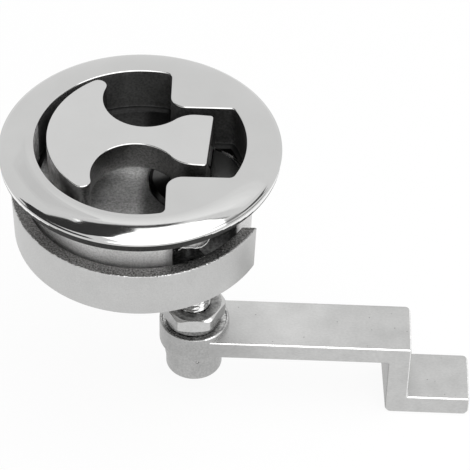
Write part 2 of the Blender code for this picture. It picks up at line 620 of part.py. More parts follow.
def build_spindle_bearing(root, bronze, rubber, nylon):
    """Thrust washer, seal and flanged bushing, fixed in the housing round the spindle."""
    place = frame_at("bearing_axis", root, SPINDLE_X)
    bore = BARREL_RADIUS + RUNNING_CLEARANCE
    outer = BEARING_BORE_RADIUS - SEAT_GAP
    washer_bottom = POCKET_FLOOR_Z + SEAT_GAP
    washer_top = washer_bottom + THRUST_WASHER_THICKNESS
    piece("thrust_washer", turned([
        (bore, washer_bottom), (SPINDLE_DISC_RADIUS, washer_bottom),
        (SPINDLE_DISC_RADIUS, washer_top), (bore, washer_top)], MEDIUM), place, nylon)
    seal_radius = (BARREL_RADIUS + BEARING_BORE_RADIUS) / 2
    seal_z = BUSHING_TOP_Z + SEAT_GAP + SEAL_SECTION_RADIUS
    seal = turned(circle(SEAL_SECTION_RADIUS, 8, seal_radius, seal_z), MEDIUM)
    piece("spindle_seal", seal, place, rubber)
    piece("spindle_bushing", turned([
        (bore, BUSHING_BOTTOM_Z), (BUSHING_FLANGE_RADIUS, BUSHING_BOTTOM_Z),
        (BUSHING_FLANGE_RADIUS, BUSHING_FLANGE_TOP_Z), (outer, BUSHING_FLANGE_TOP_Z),
        (outer, BUSHING_TOP_Z), (bore, BUSHING_TOP_Z)], MEDIUM), place, bronze)


def build_spring_stack(axis, spring_steel, plain_steel):
    """Coil spring, flat washer and retaining ring that pull the spindle head down."""
    piece("spindle_spring", moved(coil(
        SPRING_MEAN_RADIUS, SPRING_WIRE_RADIUS, SPRING_LENGTH, SPRING_TURNS), z=SPRING_TOP_Z),
        axis, spring_steel)
    bore = BARREL_RADIUS + RUNNING_CLEARANCE
    bottom = SPRING_WASHER_TOP_Z - SPRING_WASHER_THICKNESS
    piece("spring_washer", turned([
        (bore, bottom), (SPRING_WASHER_RADIUS, bottom),
        (SPRING_WASHER_RADIUS, SPRING_WASHER_TOP_Z), (bore, SPRING_WASHER_TOP_Z)], MEDIUM),
        axis, plain_steel)
    inner = BARREL_RADIUS - CIRCLIP_GROOVE_DEPTH + SEAT_GAP
    clip = open_washer_outline(inner + CIRCLIP_WIDTH, inner, CIRCLIP_GAP_DEG)
    piece("retaining_ring", prism([(clip, CIRCLIP_BOTTOM_Z), (clip, CIRCLIP_TOP_Z)]), axis, spring_steel)


def build_threaded_rod(axis, rod_steel, pin_steel):
    """Rod screwed into the barrel and locked there by a cross pin."""
    end = ROD_RADIUS - ROD_END_CHAMFER
    body = turned([
        (0.0, ROD_TOP_Z), (end, ROD_TOP_Z), (ROD_RADIUS, ROD_TOP_Z - ROD_END_CHAMFER),
        (ROD_RADIUS, ROD_BOTTOM_Z + ROD_END_CHAMFER), (end, ROD_BOTTOM_Z), (0.0, ROD_BOTTOM_Z)], MEDIUM)
    rod = piece("threaded_rod", body, axis, rod_steel)
    combine(rod, 'DIFFERENCE', "lock_pin_hole", lock_pin_hole())
    half = BARREL_RADIUS - LOCK_PIN_RECESS
    pin = prism([(circle(LOCK_PIN_RADIUS, SMALL), -half), (circle(LOCK_PIN_RADIUS, SMALL), half)])
    piece("rod_lock_pin", moved(along_y(pin), z=LOCK_PIN_Z), axis, pin_steel)


def build_jam_nut(axis, nut_steel, washer_steel):
    """Thin hexagon nut, chamfered on both faces, on a split spring washer."""
    place = frame_at("jam_nut_axis", axis, yaw_deg=NUT_YAW_DEG - HANDLE_YAW_DEG)
    corner = NUT_FLATS / math.sqrt(3)
    top = NUT_BOTTOM_Z + NUT_HEIGHT
    hexagon = circle(corner, 6)
    nut = piece("jam_nut", prism([(hexagon, NUT_BOTTOM_Z), (hexagon, top)]), place, nut_steel)
    face = NUT_FLATS / 2 * 0.96
    drop = (corner - face) * math.tan(math.radians(30))
    envelope = turned([
        (0.0, NUT_BOTTOM_Z), (face, NUT_BOTTOM_Z), (corner + MM, NUT_BOTTOM_Z + drop + MM * 0.577),
        (corner + MM, top - drop - MM * 0.577), (face, top), (0.0, top)], MEDIUM)
    combine(nut, 'INTERSECT', "chamfer", envelope)
    bore = ROD_RADIUS + RUNNING_CLEARANCE
    flare = bore + ROD_END_CHAMFER
    combine(nut, 'DIFFERENCE', "bore", turned([
        (0.0, NUT_BOTTOM_Z - MM), (flare + MM, NUT_BOTTOM_Z - MM), (bore, NUT_BOTTOM_Z + ROD_END_CHAMFER),
        (bore, top - ROD_END_CHAMFER), (flare + MM, top + MM), (0.0, top + MM)], MEDIUM))
    washer = open_washer_outline(LOCK_WASHER_RADIUS, bore + RUNNING_CLEARANCE, LOCK_WASHER_SPLIT_DEG)
    piece("lock_washer", prism([
        (washer, LOCK_WASHER_BOTTOM_Z), (washer, LOCK_WASHER_BOTTOM_Z + LOCK_WASHER_THICKNESS)]),
        axis, washer_steel)


def build_cam_arm(axis, material):
    """Cranked arm: dished boss and hub on the rod, flat bar, leg down, and bearing foot."""
    place = frame_at("cam_arm_axis", axis, yaw_deg=ARM_YAW_DEG - HANDLE_YAW_DEG)
    bar_bottom = ARM_TOP_Z - ARM_THICKNESS
    foot_top = ARM_TOP_Z - ARM_STEP
    foot_bottom = foot_top - ARM_FOOT_THICKNESS
    leg_inner = ARM_LEG_X - ARM_LEG_THICKNESS
    corner = ARM_CORNER_ROUND
    side = rounded([
        (0.0, ARM_TOP_Z, 0.0), (0.0, bar_bottom, 0.0), (leg_inner, bar_bottom, ARM_CROOK_RADIUS),
        (leg_inner, foot_bottom, corner), (ARM_FOOT_X, foot_bottom, corner),
        (ARM_FOOT_X, foot_top, corner), (ARM_LEG_X, foot_top, ARM_CROOK_RADIUS / 2),
        (ARM_LEG_X, ARM_TOP_Z, corner),
    ])
    half = ARM_WIDTH / 2
    bar = prism([(side, -half), (side, half)])
    round_rim(bar, -half, ARM_EDGE_ROUND)
    round_rim(bar, half, ARM_EDGE_ROUND)
    arm = piece("cam_arm", along_y(bar), place, material)
    lip = BOSS_LIP / 2
    hub_top = BOSS_BOTTOM_Z - HUB_DEPTH / 2
    boss = turned([
        (0.0, BOSS_TOP_Z), (BOSS_RADIUS - lip, BOSS_TOP_Z), (BOSS_RADIUS, BOSS_TOP_Z - lip),
        (BOSS_RADIUS, BOSS_BOTTOM_Z + lip), (BOSS_RADIUS - lip, BOSS_BOTTOM_Z),
        (HUB_RADIUS, BOSS_BOTTOM_Z), (HUB_RADIUS, hub_top),
        (HUB_RADIUS - HUB_SHOULDER, hub_top - HUB_SHOULDER),
        (HUB_RADIUS - HUB_SHOULDER, HUB_BOTTOM_Z + corner),
        (HUB_RADIUS - HUB_SHOULDER - corner * 0.3, HUB_BOTTOM_Z + corner * 0.3),
        (HUB_RADIUS - HUB_SHOULDER - corner, HUB_BOTTOM_Z), (0.0, HUB_BOTTOM_Z),
    ], MEDIUM)
    combine(arm, 'UNION', "boss", boss)
    dish_floor = BOSS_TOP_Z - BOSS_DISH_DEPTH
    bore = ROD_RADIUS + RUNNING_CLEARANCE
    combine(arm, 'DIFFERENCE', "bore", turned([
        (0.0, BOSS_TOP_Z + MM), (BOSS_DISH_RADIUS, BOSS_TOP_Z + MM), (BOSS_DISH_RADIUS, dish_floor),
        (bore, dish_floor), (bore, HUB_BOTTOM_Z - MM), (0.0, HUB_BOTTOM_Z - MM)], MEDIUM))
    return arm


# Handle

def build_handle(pivot, handle_material, pin_material):
    """T-handle with two ears under its fishtail, and the cross pin through them and the tang."""
    body = prism([(handle_outline(), HANDLE_BOTTOM_Z - PIN_Z), (handle_outline(), HANDLE_TOP_Z - PIN_Z)])
    round_rim(body, HANDLE_TOP_Z - PIN_Z, HANDLE_TOP_ROUND)
    round_rim(body, HANDLE_BOTTOM_Z - PIN_Z, HANDLE_BOTTOM_ROUND)
    handle = piece("t_handle", body, pivot, handle_material)
    ear_half = PIN_LENGTH / 2 + SEAT_GAP
    ear = prism([(circle(EAR_RADIUS, MEDIUM), -ear_half), (circle(EAR_RADIUS, MEDIUM), ear_half)])
    combine(handle, 'UNION', "ears", along_y(ear))
    clear = TANG_EYE_RADIUS + HANDLE_LIFT_RELIEF
    tail_end = flare_centre()[0] + FISHTAIL_STRAIGHT + FISHTAIL_CORNER_RADIUS
    open_end = EAR_RADIUS + abs(tail_end)
    track = arc(0, 0, clear, math.pi / 2, 3 * math.pi / 2, 16) + [(open_end, -clear), (open_end, clear)]
    half = TANG_WIDTH / 2 + RUNNING_CLEARANCE * 1.5
    combine(handle, 'DIFFERENCE', "tang_slot", along_y(prism([(track, -half), (track, half)])))
    hole = circle(PIN_RADIUS + SEAT_GAP, SMALL)
    combine(handle, 'DIFFERENCE', "pin_hole", along_y(prism([
        (hole, -FISHTAIL_HALF_WIDTH), (hole, FISHTAIL_HALF_WIDTH)])))
    pin_end = PIN_LENGTH / 2
    pin = prism([(circle(PIN_RADIUS, SMALL), -pin_end), (circle(PIN_RADIUS, SMALL), pin_end)])
    piece("pivot_pin", along_y(pin), pivot, pin_material)
    return handle


def main():
    """Clear the scene and build the latch."""
    for thing in list(bpy.data.objects):
        bpy.data.objects.remove(thing, do_unlink=True)
    polished = metal("polished_steel", (0.80, 0.80, 0.80), 0.12)
    satin = metal("satin_steel", (0.72, 0.71, 0.70), 0.38)
    cast = metal("cast_steel", (0.60, 0.59, 0.58), 0.45)
    turned_steel = metal("turned_steel", (0.66, 0.66, 0.66), 0.25)
    bronze = metal("bearing_bronze", (0.62, 0.45, 0.24), 0.4)
    nylon = metal("nylon", (0.82, 0.80, 0.74), 0.5, 0.0)
    rubber = metal("rubber", (0.03, 0.03, 0.03), 0.7, 0.0)

    root = frame_at("housing_frame", None)
    spindle_axis = frame_at("spindle_axis", root, SPINDLE_X, yaw_deg=HANDLE_YAW_DEG)
    handle_pivot = frame_at("handle_pivot", spindle_axis, z=PIN_Z)

    build_housing(root, polished)
    build_backing_ring(root, cast)
    build_ring_screws(root, turned_steel, satin)
    build_spindle_bearing(root, bronze, rubber, nylon)
    build_spindle_head(spindle_axis, turned_steel)
    build_spring_stack(spindle_axis, turned_steel, satin)
    build_threaded_rod(spindle_axis, turned_steel, satin)
    build_jam_nut(spindle_axis, turned_steel, satin)
    build_cam_arm(spindle_axis, satin)
    build_handle(handle_pivot, polished, turned_steel)


main()
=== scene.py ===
"""Looks of a flush pull latch: polished flange and T-handle, cast bowl, ring, nut and cam arm."""

import logging
import math
from dataclasses import dataclass
from enum import Enum
from typing import Callable, Iterable, Sequence

import bmesh
import bpy
from mathutils import Matrix, Vector, noise


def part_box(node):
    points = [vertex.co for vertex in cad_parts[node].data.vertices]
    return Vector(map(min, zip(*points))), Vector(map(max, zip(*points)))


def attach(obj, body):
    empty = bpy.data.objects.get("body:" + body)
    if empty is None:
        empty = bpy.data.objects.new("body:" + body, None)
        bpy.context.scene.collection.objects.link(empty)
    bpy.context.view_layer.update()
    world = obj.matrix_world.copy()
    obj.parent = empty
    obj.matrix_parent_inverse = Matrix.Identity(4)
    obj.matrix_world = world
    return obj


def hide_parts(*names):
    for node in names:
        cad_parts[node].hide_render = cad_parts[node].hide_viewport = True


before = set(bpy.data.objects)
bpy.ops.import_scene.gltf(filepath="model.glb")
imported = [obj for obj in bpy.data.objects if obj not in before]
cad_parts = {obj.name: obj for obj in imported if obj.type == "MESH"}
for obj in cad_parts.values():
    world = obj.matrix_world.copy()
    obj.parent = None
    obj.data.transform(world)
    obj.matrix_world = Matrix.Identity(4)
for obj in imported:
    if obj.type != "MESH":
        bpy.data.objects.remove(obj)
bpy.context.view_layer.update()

LOG = logging.getLogger("latch")

Point = tuple[float, float]
Ring = list[Vector]
Piece = bpy.types.Object
Solid = bmesh.types.BMesh
Tree = bpy.types.NodeTree
Socket = bpy.types.NodeSocket


def mm(value: float) -> float:
    """Return a length given in millimetres, in metres."""
    return value * 0.001


AXIS_X = mm(15.5)
PIN_Z = mm(-2.2)
HANDLE_YAW = math.radians(-4.3)
ARM_YAW = math.radians(-0.85)
FLANGE_TOP = mm(4.8)
SPINDLE_LEAN = 0.0152
SPINDLE_LEAN_TOP = mm(-12.0)
LUG_AT = (mm(15.2), mm(22.4))
LUG_RADIUS = mm(4.6)
SLIT = math.radians(8.0)
SIDES = ((-1, "front"), (1, "back"))


class Body(Enum):
    """The three rigid bodies that the pieces ride on."""

    HOUSING = "housing"
    SPINDLE = "spindle"
    HANDLE = "handle"


class Slot(Enum):
    """The record's material slots."""

    POLISHED = "polished_steel"
    CAST = "cast_steel"
    SATIN = "satin_steel"
    TURNED = "turned_steel"
    BRONZE = "bearing_bronze"
    NYLON = "nylon"
    RUBBER = "rubber"


def node_material(name: str) -> tuple[bpy.types.Material, Tree]:
    """Return a new material and its node tree."""
    made = bpy.data.materials.new(name)
    made.use_nodes = True
    return made, made.node_tree


def node_math(tree: Tree, operation: str, first: Socket, second: Socket | float) -> Socket:
    """Return the result of a math node."""
    node = tree.nodes.new("ShaderNodeMath")
    node.operation = operation
    tree.links.new(first, node.inputs[0])
    if isinstance(second, float):
        node.inputs[1].default_value = second
    else:
        tree.links.new(second, node.inputs[1])
    return node.outputs["Value"]


def node_range(tree: Tree, socket: Socket, low: float, high: float, to_low: float, to_high: float) -> Socket:
    """Return a socket remapped from one range to another, clamped."""
    node = tree.nodes.new("ShaderNodeMapRange")
    for name, value in (("From Min", low), ("From Max", high), ("To Min", to_low), ("To Max", to_high)):
        node.inputs[name].default_value = value
    tree.links.new(socket, node.inputs["Value"])
    return node.outputs["Result"]


def node_noise(tree: Tree, vector: Socket, size: float, detail: float) -> Socket:
    """Return a noise socket whose features are about size across."""
    node = tree.nodes.new("ShaderNodeTexNoise")
    node.inputs["Scale"].default_value = 1.0 / size
    node.inputs["Detail"].default_value = detail
    tree.links.new(vector, node.inputs["Vector"])
    return node.outputs["Fac"]


@dataclass(frozen=True)
class Finish:
    """A surface finish made of noise, its lengths in millimetres.

    Args:
        name: The material's name.
        colour: Base colour, linear.
        roughness: Mean roughness.
        metallic: 1 for metal, 0 for rubber and plastic.
        cloud: How much the colour drifts.
        cloud_size: Length over which it drifts.
        spread: How much the roughness drifts.
        grain: Size of the fine grain.
        depth: Height of the fine grain.
        pits: Share of the surface that is pitted, 0 to 1.
        pit_size: Size of a pit.
        brushed: Stretch of the grain along X, 1 for none.
        specks: How much the grain darkens and lightens the colour.
        shade: Bands of painted light and shade as (axis, from, to, tone): the tone is full at "to" and fades
            out at "from".
    """

    name: str
    colour: tuple[float, float, float]
    roughness: float
    metallic: float = 1.0
    cloud: float = 0.04
    cloud_size: float = 14.0
    spread: float = 0.05
    grain: float = 0.5
    depth: float = 0.004
    pits: float = 0.0
    pit_size: float = 0.8
    brushed: float = 1.0
    specks: float = 0.0
    shade: tuple[tuple[str, float, float, float], ...] = ()

    def material(self) -> bpy.types.Material:
        """Return the finish as a node material, made once."""
        known = bpy.data.materials.get(self.name)
        if known is not None:
            return known
        made, tree = node_material(self.name)
        shader = tree.nodes["Principled BSDF"]
        shader.inputs["Metallic"].default_value = self.metallic
        place = tree.nodes.new("ShaderNodeTexCoord")
        stretch = tree.nodes.new("ShaderNodeMapping")
        stretch.inputs["Scale"].default_value = (1.0 / self.brushed, 1.0, 1.0)
        tree.links.new(place.outputs["Object"], stretch.inputs["Vector"])
        drift = node_noise(tree, place.outputs["Object"], mm(self.cloud_size), 4.0)
        grain = node_noise(tree, stretch.outputs["Vector"], mm(self.grain), 6.0)
        tone = node_range(tree, drift, 0.3, 0.7, 1.0 - self.cloud, 1.0 + self.cloud)
        if self.specks:
            fleck = node_range(tree, grain, 0.35, 0.65, 1.0 - self.specks, 1.0 + self.specks)
            tone = node_math(tree, 'MULTIPLY', tone, fleck)
        # Painted light and shade: each band darkens or lightens the colour along an axis of the part.
        if self.shade:
            split = tree.nodes.new("ShaderNodeSeparateXYZ")
            tree.links.new(place.outputs["Object"], split.inputs["Vector"])
            for axis, near, far, level in self.shade:
                band = node_range(tree, split.outputs[axis], mm(near), mm(far), 1.0, level)
                tone = node_math(tree, 'MULTIPLY', tone, band)
        height = grain
        if self.pits:
            pit = self._pits(tree, place.outputs["Object"])
            tone = node_math(tree, 'MULTIPLY', tone, node_range(tree, pit, 0.0, 1.0, 0.55, 1.0))
            height = node_math(tree, 'ADD', grain, pit)
        paint = tree.nodes.new("ShaderNodeVectorMath")
        paint.operation = 'SCALE'
        paint.inputs[0].default_value = self.colour
        tree.links.new(tone, paint.inputs["Scale"])
        tree.links.new(paint.outputs["Vector"], shader.inputs["Base Color"])
        low = max(self.roughness - self.spread, 0.02)
        rough = node_range(tree, drift, 0.3, 0.7, low, self.roughness + self.spread)
        tree.links.new(rough, shader.inputs["Roughness"])
        bump = tree.nodes.new("ShaderNodeBump")
        bump.inputs["Distance"].default_value = mm(self.depth)
        tree.links.new(height, bump.inputs["Height"])
        tree.links.new(bump.outputs["Normal"], shader.inputs["Normal"])
        return made

    def _pits(self, tree: Tree, vector: Socket) -> Socket:
        """Return a socket that is 0 in a pit's middle and 1 between pits."""
        cells = tree.nodes.new("ShaderNodeTexVoronoi")
        cells.inputs["Scale"].default_value = 1.0 / mm(self.pit_size)
        tree.links.new(vector, cells.inputs["Vector"])
        return node_range(tree, cells.outputs["Distance"], 0.05, 0.05 + self.pits, 0.0, 1.0)


MIRROR = Finish(
    "mirror_polish", (0.575, 0.575, 0.57), 0.07, cloud=0.025, spread=0.02, grain=3.0, depth=0.0016)
HANDLE_TOP = Finish(
    "handle_polish", (0.615, 0.615, 0.61), 0.07, cloud=0.02, spread=0.02, grain=3.0, depth=0.0016)
# Painted light: the crescent's outer side is a brighter copy of the handle's sides, with a band of painted
# shade towards its front tip.
HANDLE_OUTER_LIGHT_AND_SHADE = Finish(
    "handle_outer_side_painted_light_and_shade", (0.72, 0.715, 0.71), 0.42, cloud=0.45, cloud_size=5, spread=0.08, grain=1.1,
    depth=0.03, specks=0.2, shade=(("Y", -10, -17, 0.4),))
# Painted highlight: a brighter copy of the polish on the flange's foot, above the painted shade.
FOOT_PAINTED_HIGHLIGHT = Finish("rim_foot_polish_painted_highlight", (0.90, 0.90, 0.895), 0.12, grain=1.0)
HANDLE_SIDE = Finish(
    "handle_side", (0.22, 0.218, 0.215), 0.34, cloud=0.2, spread=0.08, grain=0.6, depth=0.03, specks=0.3)
# Painted shade: a near-black copy of the polish on the flange's foot, below a line chosen by heading.
FOOT_PAINTED_SHADE = Finish("flange_foot_painted_shade", (0.045, 0.045, 0.044), 0.4, cloud=0.2, grain=0.5, depth=0.02, specks=0.2)
# Painted shade: the bowl's walls are darkened as if in shadow, and a band of painted light brightens the far
# wall.
BOWL_WALL_SHADE_AND_LIGHT = Finish(
    "bowl_wall_painted_shade_and_light", (0.14, 0.14, 0.139), 0.5, cloud=0.2, spread=0.08, grain=0.7, depth=0.03, specks=0.25,
    shade=(("Y", 12, 22, 1.9),))
# Painted shade: a near-black copy of the wall for the fillets at the far side and towards the slot's end.
BOWL_CORNER_SHADE = Finish("bowl_corner_painted_shade", (0.03, 0.03, 0.0298), 0.6, cloud=0.2, grain=0.7, depth=0.03, specks=0.2)
# Painted light: a bright copy of the wall for the bowl's left side, facing in.
BOWL_SIDE_LIGHT = Finish(
    "bowl_side_painted_light", (0.85, 0.845, 0.84), 0.5, cloud=0.3, spread=0.08, grain=0.9, depth=0.04, specks=0.35)
# Painted shade: bands darken the floor towards its far side, its near side, round the spindle's disc and
# towards the slot's end.
BOWL_FLOOR_SHADE = Finish(
    "bowl_floor_painted_shade", (0.50, 0.498, 0.495), 0.52, cloud=0.15, grain=0.6, depth=0.03, pits=0.15, specks=0.25,
    shade=(("Y", 2, 7, 0.1), ("Y", -4, -9, 0.6), ("X", -0.8, 2, 0.32), ("X", 8, 13, 0.2)))
SKIRT = Finish("skirt_satin", (0.74, 0.735, 0.73), 0.6, cloud=0.08, grain=0.5, depth=0.02, specks=0.12)
# Painted shade: a dark copy of the cast surface for the pocket under a land.
POCKET_SHADE = Finish("pocket_cast_painted_shade", (0.13, 0.13, 0.129), 0.4, cloud=0.3, grain=0.8, depth=0.06, specks=0.4)
# Painted shade on the side of the screw boss in the pocket.
BOSS_SIDE_SHADE = Finish(
    "boss_side_painted_shade", (0.32, 0.318, 0.315), 0.4, cloud=0.3, grain=0.8, depth=0.04, specks=0.5, brushed=4.0)
# Painted highlight: a bright copy of the cast surface along the boss's bead.
BOSS_BEAD_HIGHLIGHT = Finish("boss_bead_painted_highlight", (0.62, 0.62, 0.615), 0.25, cloud=0.2, grain=0.6, depth=0.02, specks=0.2)
RING_WALL = Finish(
    "ring_satin", (0.55, 0.55, 0.545), 0.36, cloud=0.05, cloud_size=9, grain=0.4, depth=0.008, specks=0.05)
# Rough as cast, its colour darkened as painted shade under the flange's overhang.
RING_TOP_CAST_AND_SHADE = Finish(
    "ring_as_cast_painted_shade", (0.22, 0.218, 0.215), 0.42, cloud=0.15, grain=0.5, depth=0.10, pits=0.3, specks=0.6)
# Painted shade: a band darkens the arm towards its leg and foot.
ARM_CAST = Finish(
    "arm_satin", (0.545, 0.545, 0.54), 0.36, cloud=0.055, cloud_size=7, grain=0.5, depth=0.014,
    specks=0.04, brushed=1.6, pits=0.05, pit_size=2.6, shade=(("X", 42, 62, 0.86),))
# Painted shade: a band darkens the bar's front face towards the hub.
ARM_FRONT = Finish(
    "arm_front_satin", (0.545, 0.545, 0.54), 0.36, cloud=0.06, cloud_size=5, grain=0.5, depth=0.014,
    specks=0.05, brushed=2.0, shade=(("X", 42, 22, 0.78),))
# Painted shade: a darker copy of the arm's satin for the leg's face turned towards the hub.
LEG_SIDE_SHADE = Finish(
    "leg_side_satin_painted_shade", (0.34, 0.34, 0.337), 0.38, cloud=0.08, cloud_size=5, grain=0.5, depth=0.014,
    specks=0.06)
# Edges smoothed by wear, with a brighter colour as a painted highlight on the edges that face up and to the
# near right.
ARM_EDGE_WEAR_AND_HIGHLIGHT = Finish(
    "arm_edge_wear_and_painted_highlight", (0.88, 0.88, 0.875), 0.14, cloud=0.08, cloud_size=3, grain=0.6, depth=0.012,
    specks=0.1)
# Painted shade: a darker copy of the arm's satin for the hub and the boss's side.
HUB_SHADE = Finish(
    "hub_satin_painted_shade", (0.42, 0.42, 0.416), 0.38, cloud=0.09, cloud_size=6, grain=0.6, depth=0.02, specks=0.1)
DISH = Finish(
    "dish_scraped", (0.60, 0.60, 0.595), 0.28, cloud=0.35, cloud_size=3, grain=0.4, depth=0.05,
    specks=0.35, brushed=4.0)
TURNED = Finish("turned_bright", (0.60, 0.60, 0.595), 0.2, cloud=0.06, grain=0.3, depth=0.006, specks=0.05)
THREAD = Finish("rolled_thread", (0.50, 0.50, 0.496), 0.22, cloud=0.1, grain=0.3, depth=0.006, specks=0.1)
NUT_STEEL = Finish(
    "nut_steel", (0.55, 0.55, 0.545), 0.14, cloud=0.06, cloud_size=4, grain=0.9, depth=0.006, specks=0.04)
# Painted shade: a darker copy of the nut's steel for its flats that face across X.
NUT_SIDE_SHADE = Finish(
    "nut_side_painted_shade", (0.36, 0.36, 0.357), 0.24, cloud=0.1, cloud_size=4, grain=0.9, depth=0.008, specks=0.08)
NUT_TOP = Finish(
    "nut_top_mottled", (0.34, 0.34, 0.336), 0.34, cloud=0.25, cloud_size=3, grain=0.6, depth=0.03,
    specks=0.3)
# Painted shade: the washer is darkened as the shadow under the nut.
WASHER_SHADE = Finish("washer_painted_shade", (0.20, 0.20, 0.198), 0.3, cloud=0.2, grain=0.5, depth=0.01, specks=0.3)
# Painted shade: the spindle's head is near black as if in shadow under the handle.
SPINDLE_SHADE = Finish(
    "spindle_turned_painted_shade", (0.07, 0.07, 0.069), 0.22, cloud=0.2, grain=0.4, depth=0.01, specks=0.2)
SPRING_STEEL = Finish("spring_steel", (0.42, 0.42, 0.42), 0.28, cloud=0.08, grain=0.3, depth=0.006)
BRONZE = Finish(
    "bearing_bronze_fine", (0.55, 0.36, 0.17), 0.35, cloud=0.1, grain=0.3, depth=0.01, specks=0.1)
NYLON = Finish("nylon_natural", (0.70, 0.68, 0.62), 0.5, metallic=0.0, grain=0.4, depth=0.01)
RUBBER = Finish("seal_rubber", (0.028, 0.028, 0.028), 0.55, metallic=0.0, cloud=0.2, grain=0.4, depth=0.02)


def arc(cx: float, cy: float, radius: float, start: float, end: float, steps: int) -> list[Point]:
    """Return the points of an arc, both ends included."""
    turn = (end - start) / steps
    return [
        (cx + radius * math.cos(start + turn * i), cy + radius * math.sin(start + turn * i))
        for i in range(steps + 1)
    ]


def line(start: Point, end: Point, steps: int) -> list[Point]:
    """Return points along a straight line, both ends included."""
    return [
        (start[0] + (end[0] - start[0]) * i / steps, start[1] + (end[1] - start[1]) * i / steps)
        for i in range(steps + 1)
    ]


def circle(radius: float, count: int, cx: float = 0.0, cy: float = 0.0) -> list[Point]:
    """Return a closed circle of points."""
    return arc(cx, cy, radius, 0.0, math.tau * (count - 1) / count, count - 1)


def mirrored(upper: list[Point]) -> list[Point]:
    """Close an outline that runs from +X over +Y to -X, by mirroring it in Y."""
    return upper + [(x, -y) for x, y in reversed(upper[1:-1])]


def lifted(outline: Iterable[Point], z: float) -> Ring:
    """Return an outline as a ring at height z."""
    return [Vector((x, y, z)) for x, y in outline]


def polar(radius: float, angle: float, z: float) -> Vector:
    """Return the point at a radius and an angle about Z, at height z."""
    return Vector((radius * math.cos(angle), radius * math.sin(angle), z))


def loft(rings: Sequence[Ring], cap: bool = True) -> Solid:
    """Skin closed rings of equal length.

    Args:
        rings: The rings, in order.
        cap: Close both ends with a face. If not, the last ring joins the first.

    Returns:
        A closed mesh with its faces pointing out.
    """
    bm = bmesh.new()
    made = [[bm.verts.new(point) for point in ring] for ring in rings]
    pairs = list(zip(made, made[1:]))
    if cap:
        bm.faces.new(made[0])
        bm.faces.new(made[-1])
    else:
        pairs.append((made[-1], made[0]))
    for low, high in pairs:
        for i in range(len(low)):
            j = (i + 1) % len(low)
            bm.faces.new((low[i], low[j], high[j], high[i]))
    bmesh.ops.recalc_face_normals(bm, faces=bm.faces)
    return bm


def turned(profile: Sequence[Point], count: int = 128) -> Solid:
    """Turn a profile of (radius, z) about Z.

    Args:
        profile: The points. The turned solid closes on the axis, or on itself as a tube.
        count: Facets round the axis.

    Returns:
        A closed mesh with its faces pointing out.
    """
    tube = profile[0][0] > 0.0 and profile[-1][0] > 0.0
    inner = profile if tube else profile[1:-1]
    return loft([lifted(circle(radius, count), z) for radius, z in inner], cap=not tube)


def prism(outline: Sequence[Point], low: float, high: float) -> Solid:
    """Raise an outline from low to high."""
    return loft([lifted(outline, low), lifted(outline, high)])


def rounded(points: Sequence[tuple[float, float, float]], steps: int = 4) -> list[Point]:
    """Round the corners of a profile.

    Args:
        points: Corners as (a, b, radius), in order, first and last included as they are.
        steps: Segments in each round.

    Returns:
        The profile's points.
    """
    made: list[Point] = [points[0][:2]]
    for i in range(1, len(points) - 1):
        here = Vector(points[i][:2])
        radius = points[i][2]
        before = (Vector(points[i - 1][:2]) - here).normalized()
        after = (Vector(points[i + 1][:2]) - here).normalized()
        if radius <= 0.0 or before.cross(after) == 0.0:
            made.append((here.x, here.y))
            continue
        half = before.angle(after) / 2
        centre = here + (before + after).normalized() * radius / math.sin(half)
        first = here + before * radius / math.tan(half) - centre
        last = here + after * radius / math.tan(half) - centre
        begin = math.atan2(first.y, first.x)
        sweep = math.atan2(first.cross(last), first.dot(last))
        made += arc(centre.x, centre.y, radius, begin, begin + sweep, steps)
    made.append(points[-1][:2])
    return made


def loop_rounded(points: Sequence[tuple[float, float, float]], steps: int = 4) -> list[Point]:
    """Round every corner of a closed outline."""
    last, first = points[-1], points[0]
    middle = ((last[0] + first[0]) / 2, (last[1] + first[1]) / 2, 0.0)
    return rounded([middle, *points, middle], steps)[:-1]


def shrunk(outline: Sequence[Point], inset: float) -> list[Point]:
    """Return a closed outline with every side moved inwards by inset."""
    area = sum(x0 * y1 - x1 * y0 for (x0, y0), (x1, y1) in zip(outline, [*outline[1:], outline[0]]))
    turn = 1.0 if area > 0 else -1.0
    made = []
    for i, point in enumerate(outline):
        here = Vector(point)
        before = (here - Vector(outline[i - 1])).normalized()
        after = (Vector(outline[(i + 1) % len(outline)]) - here).normalized()
        inward = Vector((-before.y - after.y, before.x + after.x)) * turn
        inward /= max(1.0 + before.dot(after), 0.3)
        made.append(tuple(here + inward * inset))
    return made


def cylinder(radius: float, low: float, high: float, count: int, edge: float = 0.0) -> Solid:
    """Return a closed cylinder about Z, its two edges rounded by edge."""
    return turned(rounded([(0, low, 0), (radius, low, edge), (radius, high, edge), (0, high, 0)]), count)


def split_ring(section: Sequence[Point], steps: int, yaw: float = 0.0) -> Solid:
    """Sweep a (radius, z) section round Z, all but a slit that lies at yaw."""
    turn = (math.tau - SLIT) / steps
    angles = [yaw + SLIT / 2 + turn * i for i in range(steps + 1)]
    return loft([[polar(r, a, z) for r, z in section] for a in angles])


def quarter(steps: int) -> list[Point]:
    """Return (1 - sin, 1 - cos) over a quarter turn: the inset and the height along a rounded edge."""
    angles = [math.pi / 2 * i / steps for i in range(steps + 1)]
    return [(1 - math.sin(a), 1 - math.cos(a)) for a in angles]


def beside(at: Point, side: int) -> Matrix:
    """Return the place of a feature at (x, y), mirrored in Y where side is -1."""
    return Matrix.Translation((at[0], side * at[1], 0))


def lug_turn(side: int) -> Matrix:
    """Return the turn from +X to the screw lug on one side."""
    return Matrix.Rotation(math.atan2(side * LUG_AT[1], LUG_AT[0]), 4, 'Z')


